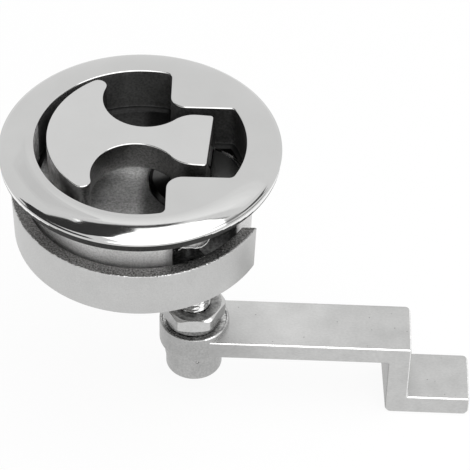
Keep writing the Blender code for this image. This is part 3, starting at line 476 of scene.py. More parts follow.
class Workshop:
    """Turns meshes into named pieces that ride on a body."""

    sharp = math.radians(35.0)

    def solid(self, name: str, bm: Solid, at: Matrix | None = None) -> Piece:
        """Return a new object from a mesh, which is used up.

        Args:
            name: The object's name.
            bm: The mesh.
            at: Where the mesh's own frame lies in the part's frame.
        """
        if at is not None:
            bm.transform(at)
        mesh = bpy.data.meshes.new(name)
        bm.to_mesh(mesh)
        bm.free()
        made = bpy.data.objects.new(name, mesh)
        bpy.context.scene.collection.objects.link(made)
        return made

    def join(self, piece: Piece, bm: Solid, at: Matrix | None = None) -> None:
        """Join a solid to a piece; the arguments are those of solid."""
        self._combine(piece, 'UNION', bm, at)

    def cut(self, piece: Piece, bm: Solid, at: Matrix | None = None) -> None:
        """Cut a solid out of a piece; the arguments are those of solid."""
        self._combine(piece, 'DIFFERENCE', bm, at)

    def _combine(self, piece: Piece, operation: str, bm: Solid, at: Matrix | None) -> None:
        """Change a piece by a boolean with a solid, which is used up."""
        other = self.solid(piece.name + "_tool", bm, at)
        modifier = piece.modifiers.new("combine", 'BOOLEAN')
        modifier.operation = operation
        modifier.solver = 'MANIFOLD'
        modifier.object = other
        self.settle(piece)
        spare = other.data
        bpy.data.objects.remove(other)
        bpy.data.meshes.remove(spare)

    def settle(self, piece: Piece) -> None:
        """Apply a piece's modifiers to its mesh."""
        graph = bpy.context.evaluated_depsgraph_get()
        graph.update()
        fresh = bpy.data.meshes.new_from_object(piece.evaluated_get(graph))
        piece.modifiers.clear()
        old = piece.data
        name = piece.name
        piece.data = fresh
        bpy.data.meshes.remove(old)
        fresh.name = name

    def dress(self, piece: Piece, finish_of: Callable[[Vector, Vector], Finish]) -> None:
        """Give each face of a piece its finish, and smooth the shading.

        Args:
            piece: The piece.
            finish_of: Picks the finish by a face's centre and normal, in the part's frame.
        """
        mesh = piece.data
        mesh.materials.clear()
        places: dict[str, int] = {}
        for face in mesh.polygons:
            finish = finish_of(face.center, face.normal)
            if finish.name not in places:
                places[finish.name] = len(places)
                mesh.materials.append(finish.material())
            face.material_index = places[finish.name]
        mesh.shade_smooth()
        mesh.set_sharp_from_angle(angle=self.sharp)
        flatten = piece.modifiers.new("flats_stay_flat", 'WEIGHTED_NORMAL')
        flatten.mode = 'FACE_AREA'
        flatten.weight = 100
        flatten.keep_sharp = True

    def lean(self, piece: Piece) -> None:
        """Lean a piece of the spindle by its play in the bearing, more the lower it is."""
        for vertex in piece.data.vertices:
            vertex.co.x += min(vertex.co.z - SPINDLE_LEAN_TOP, 0.0) * SPINDLE_LEAN

    def hand_over(self, piece: Piece, body: Body, slot: Slot, *nodes: str) -> None:
        """Let a piece ride on its body in place of its solids, and log it.

        Args:
            piece: The piece.
            body: The body it rides on.
            slot: Not used.
            nodes: The solids that it stands for.
        """
        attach(piece, body.value)
        if body is Body.SPINDLE and piece.name != "cam_arm_casting":
            self.lean(piece)
        if nodes:
            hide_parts(*nodes)
        LOG.info("%s: %d faces on %s", piece.name, len(piece.data.polygons), body.value)

    def deliver(self, piece: Piece, finish: Finish, body: Body, slot: Slot, node: str) -> None:
        """Dress a piece in one finish and hand it over."""
        self.dress(piece, lambda centre, normal: finish)
        self.hand_over(piece, body, slot, node)


SHOP = Workshop()
SPINDLE_FRAME = Matrix.Translation((AXIS_X, 0.0, 0.0))
HANDLE_TURN = Matrix.Rotation(HANDLE_YAW, 4, 'Z')
ALONG_Y = Matrix.Rotation(math.pi / 2, 4, 'X')


@dataclass
class Housing:
    """Polished flange, keyhole bowl, skirt and bearing barrel."""

    radius: float = mm(38.5)
    roll: float = mm(2.2)
    roll_centre: Point = (mm(36.3), mm(1.5))
    dome_start: float = mm(29.85)
    dome_slope: float = math.radians(19.35)
    dome_steps: int = 30
    roll_end: float = math.radians(50.0)
    bead: float = mm(0.5)
    bead_z: float = mm(2.35)
    foot: float = mm(0.3)
    foot_edge: Point = (mm(0.3), mm(0.15))
    foot_step: float = mm(0.2)
    # Painted shade on the flange's foot: below foot_line all round, and up to a taller line round the near
    # side.
    foot_line: float = mm(0.5)
    foot_shade_rise: float = mm(1.6)
    foot_shade_heading: float = -92.0
    foot_shade_spread: float = 24.0
    foot_shade_fade: float = 34.0
    opening: float = mm(28.8)
    half_slot: float = mm(13.85)
    land_x: float = mm(7.6)
    land_round: float = mm(4.5)
    corner_round: float = mm(1.8)
    edge: float = mm(0.35)
    wall: float = mm(2.4)
    draft: float = mm(0.45)
    floor_z: float = mm(-9.2)
    floor_fillet: float = mm(1.6)
    ceiling_z: float = mm(-12.2)
    skirt_z: float = mm(-26.4)
    pocket_radius: float = mm(13.7)
    pocket_z: float = mm(-12.8)
    boss_at: Point = (mm(13.6), mm(22.4))
    boss_radius: float = mm(5.9)
    boss_z: float = mm(-8.7)
    boss_edge: float = mm(0.9)
    boss_bead: float = mm(0.32)
    boss_wave: tuple[tuple[float, float], ...] = (
        (-116.0, -10.0), (-112.0, -8.9), (-101.0, -7.7), (-81.0, -7.6), (-64.0, -8.2), (-50.0, -8.5),
        (-33.0, -8.5), (-14.0, -8.6), (0.0, -9.2))
    lug_z: tuple[float, float] = (mm(-23.3), mm(-19.9))
    tap: float = mm(2.2)
    pad: float = mm(15.05)
    pad_thickness: float = mm(2.5)
    barrel: float = mm(12.5)
    bore: float = mm(9.9)
    past: float = mm(1.6)

    def keyhole(self, offset: float) -> list[Point]:
        """Return the bowl's outline, grown outwards by offset."""
        radius = self.opening + offset
        half = self.half_slot + offset
        land = self.land_x + offset
        fillet = max(self.land_round - offset, mm(0.4))
        corner = self.corner_round + offset
        slot_x = math.sqrt((radius - corner) ** 2 - (half - corner) ** 2)
        slot_angle = math.atan2(half - corner, slot_x)
        land_y = math.sqrt((radius - corner) ** 2 - (land - corner) ** 2)
        land_angle = math.atan2(land_y, land - corner)
        upper = arc(0, 0, radius, 0, slot_angle, 24)
        upper += arc(slot_x, half - corner, corner, slot_angle, math.pi / 2, 10)[1:]
        upper += line((slot_x, half), (land + fillet, half), 12)[1:]
        upper += arc(land + fillet, half + fillet, fillet, -math.pi / 2, -math.pi, 14)[1:]
        upper += line((land, half + fillet), (land, land_y), 14)[1:]
        upper += arc(land - corner, land_y, corner, 0, land_angle, 10)[1:]
        upper += arc(0, 0, radius, land_angle, math.pi, 130)[1:]
        return mirrored(upper)

    def round_ring(self, radius: float, z: float) -> Ring:
        """Return a circle about the flange's centre whose points face the keyhole's points."""
        angles = [math.atan2(y, x) for x, y in self.keyhole(0.0)]
        return [polar(radius, a, z) for a in angles]

    def rim(self) -> list[Point]:
        """Return the flange's rim as (radius, z): foot, bead, ledge, roll and dome."""
        wall = self.radius - self.foot
        bead_x = self.radius - self.bead
        made = [(wall - self.foot_edge[0], 0.0), (wall, self.foot_edge[1])]
        made += [(wall, self.foot_line + self.foot_step * i) for i in range(8)]
        made += arc(bead_x, self.bead_z, self.bead, math.radians(-50.0), math.radians(60.0), 10)
        top = math.pi / 2
        made += arc(*self.roll_centre, self.roll, top - self.roll_end, top - self.dome_slope, 24)
        dome = (made[-1][0] - self.dome_start) / math.sin(self.dome_slope)
        for i in range(1, self.dome_steps + 1):
            a = self.dome_slope * (1 - i / self.dome_steps)
            made.append((self.dome_start + dome * math.sin(a), FLANGE_TOP - dome * (1 - math.cos(a))))
        return made

    def rings(self) -> list[Ring]:
        """Return the housing's skin as rings, from the chamber's ceiling out and over to the bowl's floor."""
        lip = mm(0.4)
        low = self.wall - self.draft
        made = [lifted(self.keyhole(0.0), self.ceiling_z)]
        made.append(lifted(self.keyhole(0.0), self.skirt_z))
        made.append(lifted(self.keyhole(low - lip), self.skirt_z))
        made.append(lifted(self.keyhole(low), self.skirt_z + lip))
        made.append(lifted(self.keyhole(self.wall), -lip))
        made.append(lifted(self.keyhole(self.wall + lip), 0.0))
        for radius, z in self.rim():
            made.append(self.round_ring(radius, z))
        made.append(lifted(self.keyhole(self.edge * 1.6), FLANGE_TOP))
        for inset, drop in quarter(5):
            made.append(lifted(self.keyhole(self.edge * inset), FLANGE_TOP - self.edge * drop))
        made.append(lifted(self.keyhole(0.0), self.floor_z + self.floor_fillet * 1.5))
        for rise, inset in quarter(5):
            made.append(lifted(
                self.keyhole(-self.floor_fillet * inset), self.floor_z + self.floor_fillet * rise))
        return made

    def boss_rim(self, side: int) -> Solid:
        """Return the wavy bead along the lower edge of a land's screw boss."""
        path = []
        for (a0, z0), (a1, z1) in zip(self.boss_wave, self.boss_wave[1:]):
            for i in range(4):
                share = i / 4
                ease = share * share * (3 - 2 * share)
                angle = math.radians(a0 + (a1 - a0) * share)
                path.append((angle, mm(z0 + (z1 - z0) * ease)))
        rings = []
        for angle, z in path:
            out = Vector((math.cos(angle), -side * math.sin(angle), 0.0))
            heart = Vector((self.boss_at[0], side * self.boss_at[1], z)) + out * (self.boss_radius - mm(0.05))
            rings.append([
                heart + (out * math.cos(a) + Vector((0, 0, 1)) * math.sin(a)) * self.boss_bead
                for a in (math.tau * k / 10 for k in range(10))])
        return loft(rings)

    def lug(self, side: int) -> Solid:
        """Return the screw lug on one side."""
        outline = arc(math.hypot(*LUG_AT), 0, LUG_RADIUS, -math.pi / 2, math.pi / 2, 24)
        web = math.hypot(self.land_x, self.half_slot)
        outline += [(web, LUG_RADIUS), (web, -LUG_RADIUS)]
        bm = prism(outline, *self.lug_z)
        bm.transform(lug_turn(side))
        return bm

    def build(self) -> Piece:
        """Build the housing as one closed mesh."""
        piece = SHOP.solid("housing_casting", loft(self.rings()))
        for side, _ in SIDES:
            boss = turned(rounded([
                (0, self.boss_z, 0), (self.boss_radius, self.boss_z, self.boss_edge),
                (self.boss_radius, self.past, 0), (0, self.past, 0)]), 96)
            SHOP.join(piece, boss, beside(self.boss_at, side))
            SHOP.join(piece, self.boss_rim(side))
            SHOP.join(piece, self.lug(side))
        SHOP.cut(piece, prism(self.keyhole(0.0), self.skirt_z - self.past, self.ceiling_z))
        pad_top, pad_z = self.ceiling_z + self.past, self.pocket_z - self.pad_thickness
        SHOP.join(piece, turned([
            (0, pad_top), (self.pad, pad_top), (self.pad, pad_z), (self.barrel, pad_z),
            (self.barrel, self.skirt_z), (0, self.skirt_z)]), SPINDLE_FRAME)
        above, below = self.floor_z + self.past / 2, self.skirt_z - self.past
        SHOP.cut(piece, turned([
            (0, above), (self.pocket_radius, above), (self.pocket_radius, self.pocket_z),
            (self.bore, self.pocket_z), (self.bore, below), (0, below)]), SPINDLE_FRAME)
        for side, _ in SIDES:
            tap = cylinder(self.tap, self.lug_z[0] - self.past, self.lug_z[1] + self.past, 48)
            SHOP.cut(piece, tap, beside(LUG_AT, side))
        return piece

    def finish_of(self, centre: Vector, normal: Vector) -> Finish:
        """Return the finish of a face."""
        reach = math.hypot(centre.x, centre.y)
        under_land = self.under_land(centre)
        if centre.z > FLANGE_TOP - self.edge * 1.05:
            return MIRROR
        if centre.z > mm(0.05) and reach > self.opening + mm(2):
            return self.on_rim(centre)
        if centre.z > self.ceiling_z + mm(1.5) and reach < self.opening + mm(0.3) and not under_land:
            return self.in_bowl(centre, normal)
        # Faces in the pocket under a land take its painted shade; the skirt's corner beside it stays lit.
        turned_in = normal.x > 0.96 or abs(normal.z) > 0.5 or centre.x > self.land_x + self.wall + mm(0.2)
        if under_land and centre.z < mm(0.1) and turned_in:
            return self.on_boss(centre, normal)
        return SKIRT

    def on_rim(self, centre: Vector) -> Finish:
        """Return the finish on the flange's rim, whose foot is painted: painted shade below a line that is
        taller on the near side, a painted highlight above it.
        """
        if centre.z > self.bead_z - self.bead * 0.7:
            return MIRROR
        heading = math.degrees(math.atan2(centre.y, centre.x))
        past = max(abs(heading - self.foot_shade_heading) - self.foot_shade_spread, 0.0)
        shade_line_z = self.foot_line + self.foot_shade_rise * max(0.0, 1.0 - past / self.foot_shade_fade)
        return FOOT_PAINTED_SHADE if centre.z < shade_line_z else FOOT_PAINTED_HIGHLIGHT

    def in_bowl(self, centre: Vector, normal: Vector) -> Finish:
        """Return the finish of a face in the bowl: painted shade on the floor, the walls and the far fillets,
        and painted light on the left side and the far wall.
        """
        if normal.z > 0.985:
            return BOWL_FLOOR_SHADE
        if normal.z > 0.2 and (centre.y > mm(1) or centre.x > mm(8)):
            return BOWL_CORNER_SHADE
        return BOWL_SIDE_LIGHT if normal.x > 0.1 and centre.x < mm(-10) and centre.y < mm(6) else BOWL_WALL_SHADE_AND_LIGHT

    def on_boss(self, centre: Vector, normal: Vector) -> Finish:
        """Return the finish of a face in the pocket, with its screw boss and the boss's bead: painted shade
        in the pocket and on the boss's side, a painted highlight on the bead.
        """
        reach = math.hypot(centre.x - self.boss_at[0], abs(centre.y) - self.boss_at[1]) - self.boss_radius
        if abs(reach) > self.boss_bead * 1.5:
            return POCKET_SHADE
        if reach > mm(0.02) and centre.z < mm(-6.5):
            return BOSS_BEAD_HIGHLIGHT
        return BOSS_SIDE_SHADE if abs(normal.z) < 0.3 else POCKET_SHADE

    def under_land(self, centre: Vector) -> bool:
        """Tell whether a point lies in the pocket outside the bowl, under a land."""
        clear = self.wall * 0.5
        beside_slot = abs(centre.y) > self.half_slot + clear and centre.x > self.land_x + clear
        return beside_slot and math.hypot(centre.x, centre.y) < self.opening + self.wall + mm(2)

    def dress(self, piece: Piece) -> None:
        """Give the housing its finishes."""
        SHOP.dress(piece, self.finish_of)
        SHOP.hand_over(piece, Body.HOUSING, Slot.POLISHED, "housing")


@dataclass
class BackingRing:
    """C-shaped ring: rough as cast on top with painted shade, satin round the outside."""

    outer: float = mm(35.6)
    wall: float = mm(3.6)
    draft: float = mm(0.35)
    top: float = mm(-12.0)
    bottom: float = mm(-26.5)
    half_gap: float = mm(15.1)
    edge: float = mm(0.45)
    rough: float = mm(0.11)
    lug_thickness: float = mm(3.0)
    screw_hole: float = mm(2.4)
    steps: int = 900

    def section(self) -> list[Point]:
        """Return the ring's section as (radius, z) points, closed."""
        inner = self.outer - self.wall
        across = [(self.outer - self.wall * i / 9, self.top, 0.0) for i in range(2, 8)]
        return loop_rounded([
            (inner, self.bottom, self.edge), (self.outer - self.draft, self.bottom, self.edge),
            (self.outer - mm(0.03), self.top - mm(1.1), 0.0), (self.outer, self.top, self.edge), *across,
            (inner, self.top, self.edge), (inner, self.top - mm(1.1), 0.0)], 4)

    def slice(self, share: float, inset: float = 0.0) -> Ring:
        """Return the section at a share of the way round, shrunk towards its middle by inset."""
        mid_r = self.outer - self.wall / 2
        mid_z = (self.top + self.bottom) / 2
        made = []
        for radius, z in self.section():
            dr, dz = radius - mid_r, z - mid_z
            radius = mid_r + dr * (1 - inset / (self.wall / 2))
            z = mid_z + dz * (1 - inset / (self.top - mid_z))
            start = math.asin((self.half_gap + self.edge - min(inset, self.edge)) / radius)
            angle = start + (math.tau - 2 * start) * share
            point = polar(radius, angle, z)
            if z > self.top - self.edge * 1.2:
                wobble = noise.noise(point / mm(0.45)) + 0.6 * noise.noise(point / mm(1.6))
                point += Vector((point.x / radius, point.y / radius, 0.6)) * self.rough * wobble
            made.append(point)
        return made

    def build(self) -> Piece:
        """Build the ring with its two lugs."""
        ends = (self.edge, self.edge * 0.35, 0.0)
        rings = [self.slice(0.0, inset) for inset in ends]
        rings += [self.slice(i / self.steps) for i in range(1, self.steps)]
        rings += [self.slice(1.0, inset) for inset in reversed(ends)]
        piece = SHOP.solid("backing_ring_casting", loft(rings))
        web = self.outer - self.wall / 2
        outline = arc(math.hypot(*LUG_AT), 0, LUG_RADIUS, math.pi / 2, 3 * math.pi / 2, 24)
        outline += [(web, -LUG_RADIUS), (web, LUG_RADIUS)]
        top = self.bottom + self.lug_thickness
        for side, _ in SIDES:
            SHOP.join(piece, prism(outline, self.bottom + mm(0.02), top), lug_turn(side))
            hole = cylinder(self.screw_hole, self.bottom - mm(2), top + mm(2), 48)
            SHOP.cut(piece, hole, beside(LUG_AT, side))
        return piece

    def finish_of(self, centre: Vector, normal: Vector) -> Finish:
        """Return the finish of a face: satin round the outside, as cast with painted shade elsewhere."""
        outside = math.hypot(centre.x, centre.y) > self.outer - self.draft - mm(0.3)
        return RING_WALL if outside and normal.z < 0.75 else RING_TOP_CAST_AND_SHADE

    def dress(self, piece: Piece) -> None:
        """Give the ring its finishes."""
        SHOP.dress(piece, self.finish_of)
        SHOP.hand_over(piece, Body.HOUSING, Slot.CAST, "backing_ring")


@dataclass
class Handle:
    """T-handle: crescent, waist and fishtail, and its cross pin."""

    top: float = mm(5.6)
    thickness: float = mm(9.1)
    crescent_at: float = mm(-13.8)
    crescent: float = mm(27.2)
    tip_round: float = mm(2.4)
    notch: float = mm(11.9)
    notch_at: Point = (mm(-15.5), mm(15.5))
    notch_skew: float = mm(-0.3)
    half_tail: float = mm(10.1)
    flare: float = mm(8.0)
    tail_end: float = mm(3.35)
    tail_round: float = mm(0.9)
    edge: float = mm(0.28)
    under_edge: float = mm(1.1)
    ear: float = mm(4.0)
    pin_length: float = mm(18.2)
    pin_radius: float = mm(2.0)
    pin_edge: float = mm(0.3)
    play: float = mm(0.2)
    tang_half: float = mm(4.1)
    tang_clear: float = mm(4.55)

    def half_outline(self, inset: float, notch_x: float) -> list[Point]:
        """Return one half of the outline, from the tail over a tip to the far end.

        Args:
            inset: How much the outline is shrunk.
            notch_x: Where this half's notch is centred.
        """
        notch = self.notch + inset
        notch_y = self.notch_at[1]
        flare = self.flare - inset
        half = self.half_tail - inset
        flare_y = half - flare
        flare_x = notch_x + math.sqrt((notch + flare) ** 2 - (notch_y - flare_y) ** 2)
        meet = math.atan2(flare_y - notch_y, flare_x - notch_x)
        corner = max(self.tail_round - inset, self.tail_round * 0.2)
        end = self.tail_end - inset
        tip = self.tip_round - inset
        tip_x, tip_y = self.tip_centre(notch_x)
        tip_start = math.atan2(notch_y - tip_y, notch_x - tip_x)
        tip_end = math.atan2(tip_y, tip_x - self.crescent_at)
        made = line((end, 0), (end, half - corner), 8)
        made += arc(end - corner, half - corner, corner, 0, math.pi / 2, 8)[1:]
        made += arc(flare_x, flare_y, flare, math.pi / 2, meet + math.pi, 16)
        made += arc(notch_x, notch_y, notch, meet, tip_start - math.pi, 60)[1:]
        made += arc(tip_x, tip_y, tip, tip_start, tip_end, 14)[1:]
        made += arc(self.crescent_at, 0, self.crescent - inset, tip_end, math.pi, 90)[1:]
        return made

    def tip_centre(self, notch_x: float) -> Point:
        """Return the centre of a tip's round, which touches both the notch and the crescent."""
        first = self.notch + self.tip_round
        second = self.crescent - self.tip_round
        gap_x, gap_y = self.crescent_at - notch_x, -self.notch_at[1]
        gap = math.hypot(gap_x, gap_y)
        along = (first ** 2 - second ** 2 + gap ** 2) / (2 * gap)
        aside = math.sqrt(first ** 2 - along ** 2)
        return (
            notch_x + (along * gap_x + aside * gap_y) / gap,
            self.notch_at[1] + (along * gap_y - aside * gap_x) / gap)

    def outline(self, inset: float) -> list[Point]:
        """Return the handle's outline, shrunk by inset."""
        back = self.half_outline(inset, self.notch_at[0] + self.notch_skew)
        front = self.half_outline(inset, self.notch_at[0] - self.notch_skew)
        return back + [(x, -y) for x, y in reversed(front[1:-1])]

    def frame(self) -> Matrix:
        """Return the handle's own frame, on its cross pin."""
        return Matrix.Translation((AXIS_X, 0, PIN_Z)) @ HANDLE_TURN

    def build(self) -> tuple[Piece, Piece]:
        """Build the handle and its pin."""
        high = self.top - PIN_Z
        low = high - self.thickness
        under = self.under_edge
        rings = [lifted(self.outline(under * inset), low + under * rise) for inset, rise in quarter(5)]
        rings += [
            lifted(self.outline(self.edge * inset), high - self.edge * drop) for drop, inset in quarter(6)]
        rings.append(lifted(self.outline(self.edge + mm(0.15)), high))
        piece = SHOP.solid("t_handle_forging", loft(rings), self.frame())
        lay = self.frame() @ ALONG_Y
        half = self.pin_length / 2
        ears = cylinder(self.ear, -half - self.play, half + self.play, 96)
        SHOP.join(piece, ears, lay)
        far = self.tail_end * 2 + self.ear
        track = arc(0, 0, self.tang_clear, math.pi / 2, 3 * math.pi / 2, 40)
        track += [(far, -self.tang_clear), (far, self.tang_clear)]
        SHOP.cut(piece, prism(track, -self.tang_half, self.tang_half), lay)
        hole = cylinder(self.pin_radius + self.play, -self.half_tail, self.half_tail, 64)
        SHOP.cut(piece, hole, lay)
        pin = SHOP.solid("pivot_pin_turned", cylinder(self.pin_radius, -half, half, 64, self.pin_edge), lay)
        return piece, pin

    def finish_of(self, centre: Vector, normal: Vector) -> Finish:
        """Return the finish of a face; the crescent's outer side takes painted light, and painted shade
        towards its front tip.
        """
        if centre.z > self.top - self.edge * 1.05:
            return HANDLE_TOP
        heart = self.frame() @ Vector((self.crescent_at, 0, 0))
        outer = math.hypot(centre.x - heart.x, centre.y - heart.y) > self.crescent - mm(0.5)
        return HANDLE_OUTER_LIGHT_AND_SHADE if outer and abs(normal.z) < 0.5 else HANDLE_SIDE

    def dress(self, pieces: tuple[Piece, Piece]) -> None:
        """Give the handle and its pin their finishes."""
        handle, pin = pieces
        SHOP.dress(handle, self.finish_of)
        SHOP.hand_over(handle, Body.HANDLE, Slot.POLISHED, "t_handle")
        SHOP.deliver(pin, TURNED, Body.HANDLE, Slot.TURNED, "pivot_pin")


@dataclass
class Spindle:
    """Head with its tang, threaded rod, lock pin, spring and the rings that hold it."""

    disc: float = mm(13.3)
    disc_top: float = mm(-8.4)
    disc_bottom: float = mm(-11.4)
    chamfer: float = mm(1.1)
    barrel: float = mm(7.5)
    barrel_bottom: float = mm(-47.0)
    groove_depth: float = mm(1.1)
    play: float = mm(0.2)
    tang_eye: float = mm(4.2)
    tang_half: float = mm(3.8)
    tang_root: float = mm(-9.9)
    pin_hole: float = mm(2.2)
    rod_hole: float = mm(5.05)
    rod_hole_cone: float = mm(2.4)
    lock_hole: float = mm(1.7)
    lock_pin_half: float = mm(7.2)
    rod: float = mm(4.95)
    pitch: float = mm(1.5)
    thread_depth: float = mm(0.85)
    thread_share: float = 0.86
    thread_fade: float = mm(0.8)
    rod_end_drop: float = mm(0.7)
    spring_top: float = mm(-28.0)
    spring_length: float = mm(10.5)
    spring_wire: float = mm(0.9)
    spring_mean: float = mm(9.4)
    spring_turns: float = 4.5
    clip_gap: float = math.radians(35.0)
    bushing_flange: Point = (mm(12.3), mm(1.2))
    bushing_sleeve: float = mm(9.7)

    def build_head(self) -> Piece:
        """Build the head, its tang and its barrel."""
        low, high = (corner.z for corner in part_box("retaining_ring"))
        low, high = low - self.play, high + self.play
        groove = self.barrel - self.groove_depth
        chamfer, bottom = self.chamfer, self.barrel_bottom
        profile = rounded([
            (0, self.disc_top, 0), (self.disc - chamfer, self.disc_top, mm(0.15)),
            (self.disc, self.disc_top - chamfer, mm(0.15)), (self.disc, self.disc_bottom, mm(0.15)),
            (self.barrel, self.disc_bottom, 0), (self.barrel, high, 0), (groove, high, 0), (groove, low, 0),
            (self.barrel, low, 0), (self.barrel, bottom + chamfer, mm(0.2)),
            (self.barrel - chamfer, bottom, mm(0.2)), (0, bottom, 0)], 3)
        piece = SHOP.solid("spindle_head_turned", turned(profile, 160), SPINDLE_FRAME)
        cross = SPINDLE_FRAME @ HANDLE_TURN @ ALONG_Y
        eye, half = self.tang_eye, self.tang_half
        tang = arc(0, PIN_Z, eye, 0, math.pi, 48) + [(-eye, self.tang_root), (eye, self.tang_root)]
        SHOP.join(piece, prism(tang, -half, half), cross)
        hole = circle(self.pin_hole, 64, cy=PIN_Z)
        SHOP.cut(piece, prism(hole, -2 * half, 2 * half), cross)
        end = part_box("threaded_rod")[1].z + mm(0.3)
        below = bottom - mm(2)
        SHOP.cut(piece, turned([
            (0, end + self.rod_hole_cone), (self.rod_hole, end), (self.rod_hole, below), (0, below)]),
            SPINDLE_FRAME)
        low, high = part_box("rod_lock_pin")
        hole = circle(self.lock_hole, 48, cy=(low.z + high.z) / 2)
        SHOP.cut(piece, prism(hole, -2 * self.barrel, 2 * self.barrel), cross)
        return piece

    def build_rod(self) -> Piece:
        """Build the rod with its thread, one turn per pitch, fading out at both ends."""
        low, high = (corner.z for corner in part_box("threaded_rod"))
        around, per_turn = 72, 10
        levels = round((high - low) / self.pitch * per_turn)
        rings = []
        for k in range(levels + 1):
            z = low + (high - low) * k / levels
            ring = []
            for i in range(around):
                angle = math.tau * i / around
                phase = ((z / self.pitch) - angle / math.tau) % 1.0
                tooth = min(abs(phase - 0.5) * 2.0 / self.thread_share, 1.0)
                fade = min(1.0, (high - z) / self.thread_fade, (z - low) / self.thread_fade)
                radius = self.rod - self.thread_depth * tooth * fade - self.rod_end_drop * (1.0 - fade)
                ring.append(polar(radius, angle, z))
            rings.append(ring)
        return SHOP.solid("threaded_rod_cut", loft(rings), SPINDLE_FRAME)

    def build_spring(self) -> Piece:
        """Build the coil spring as a smooth tube."""
        steps = round(self.spring_turns * 40)
        wire = self.spring_wire
        rings = []
        for i in range(steps + 1):
            angle = math.tau * self.spring_turns * i / steps
            out = polar(1.0, angle, 0.0)
            z = self.spring_top - wire - (self.spring_length - 2 * wire) * i / steps
            rings.append([out * (self.spring_mean + x) + Vector((0, 0, z + y)) for x, y in circle(wire, 16)])
        return SHOP.solid("spindle_spring_coil", loft(rings), SPINDLE_FRAME)

    def build_tube(self, name: str, node: str, bore: float, edge: float) -> Piece:
        """Build a plain round ring with soft edges in a node's place.

        Args:
            name: The piece's name.
            node: The node that it stands for.
            bore: The ring's inner radius.
            edge: Radius of its edges.
        """
        low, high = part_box(node)
        outer = (high.y - low.y) / 2
        section = loop_rounded([
            (bore, low.z, edge), (outer, low.z, edge), (outer, high.z, edge), (bore, high.z, edge)], 3)
        return SHOP.solid(name, turned(section), SPINDLE_FRAME)

    def head_finish(self, centre: Vector, normal: Vector) -> Finish:
        """Return the finish of a face of the head: painted shade, with a painted highlight in the ring's
        satin on the chamfer's right half.
        """
        chamfered = 0.4 < normal.z < 0.9 and centre.z > self.disc_bottom
        # The chamfer's right half takes the ring's satin as a painted highlight.
        return RING_WALL if chamfered and centre.x > AXIS_X else SPINDLE_SHADE

    def build(self) -> None:
        """Build, dress and hand over everything that turns with the spindle, and its bearing."""
        running = self.barrel + self.play
        head = self.build_head()
        SHOP.dress(head, self.head_finish)
        SHOP.hand_over(head, Body.SPINDLE, Slot.TURNED, "spindle_head")
        SHOP.deliver(self.build_rod(), THREAD, Body.SPINDLE, Slot.TURNED, "threaded_rod")
        SHOP.deliver(self.build_spring(), SPRING_STEEL, Body.SPINDLE, Slot.TURNED, "spindle_spring")
        washer = self.build_tube("spring_washer_pressed", "spring_washer", running, mm(0.2))
        SHOP.deliver(washer, TURNED, Body.SPINDLE, Slot.SATIN, "spring_washer")
        thrust = self.build_tube("thrust_washer_cut", "thrust_washer", running, mm(0.1))
        SHOP.deliver(thrust, NYLON, Body.HOUSING, Slot.NYLON, "thrust_washer")
        self.build_clip()
        self.build_bushing(running)
        self.build_seal()
        self.build_lock_pin()

    def build_clip(self) -> None:
        """Build the retaining ring, open on one side."""
        low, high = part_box("retaining_ring")
        inner = self.barrel - self.groove_depth + self.play
        outer = (high.y - low.y) / 2
        gap = self.clip_gap
        outline = arc(0, 0, outer, gap, math.tau - gap, 80) + arc(0, 0, inner, math.tau - gap, gap, 80)
        place = SPINDLE_FRAME @ HANDLE_TURN
        clip = SHOP.solid("retaining_ring_stamped", prism(outline, low.z, high.z), place)
        SHOP.deliver(clip, SPRING_STEEL, Body.SPINDLE, Slot.TURNED, "retaining_ring")

    def build_bushing(self, bore: float) -> None:
        """Build the flanged bearing bushing."""
        low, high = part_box("spindle_bushing")
        radius, flange = self.bushing_flange[0], low.z + self.bushing_flange[1]
        sleeve = self.bushing_sleeve
        section = loop_rounded([
            (bore, low.z, mm(0.2)), (radius, low.z, mm(0.3)), (radius, flange, mm(0.3)),
            (sleeve, flange, 0), (sleeve, high.z, mm(0.2)), (bore, high.z, mm(0.2))], 3)
        bushing = SHOP.solid("spindle_bushing_turned", turned(section), SPINDLE_FRAME)
        SHOP.deliver(bushing, BRONZE, Body.HOUSING, Slot.BRONZE, "spindle_bushing")

    def build_seal(self) -> None:
        """Build the seal above the bushing."""
        low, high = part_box("spindle_seal")
        radius = (high.z - low.z) / 2
        section = circle(radius, 24, (high.y - low.y) / 2 - radius, (low.z + high.z) / 2)
        seal = SHOP.solid("spindle_seal_ring", turned(section), SPINDLE_FRAME)
        SHOP.deliver(seal, RUBBER, Body.HOUSING, Slot.RUBBER, "spindle_seal")

    def build_lock_pin(self) -> None:
        """Build the cross pin that locks the rod in the barrel."""
        low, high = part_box("rod_lock_pin")
        bar = cylinder((high.z - low.z) / 2, -self.lock_pin_half, self.lock_pin_half, 48, mm(0.3))
        lay = SPINDLE_FRAME @ Matrix.Translation((0, 0, (low.z + high.z) / 2)) @ HANDLE_TURN @ ALONG_Y
        pin = SHOP.solid("rod_lock_pin_turned", bar, lay)
        SHOP.deliver(pin, TURNED, Body.SPINDLE, Slot.SATIN, "rod_lock_pin")


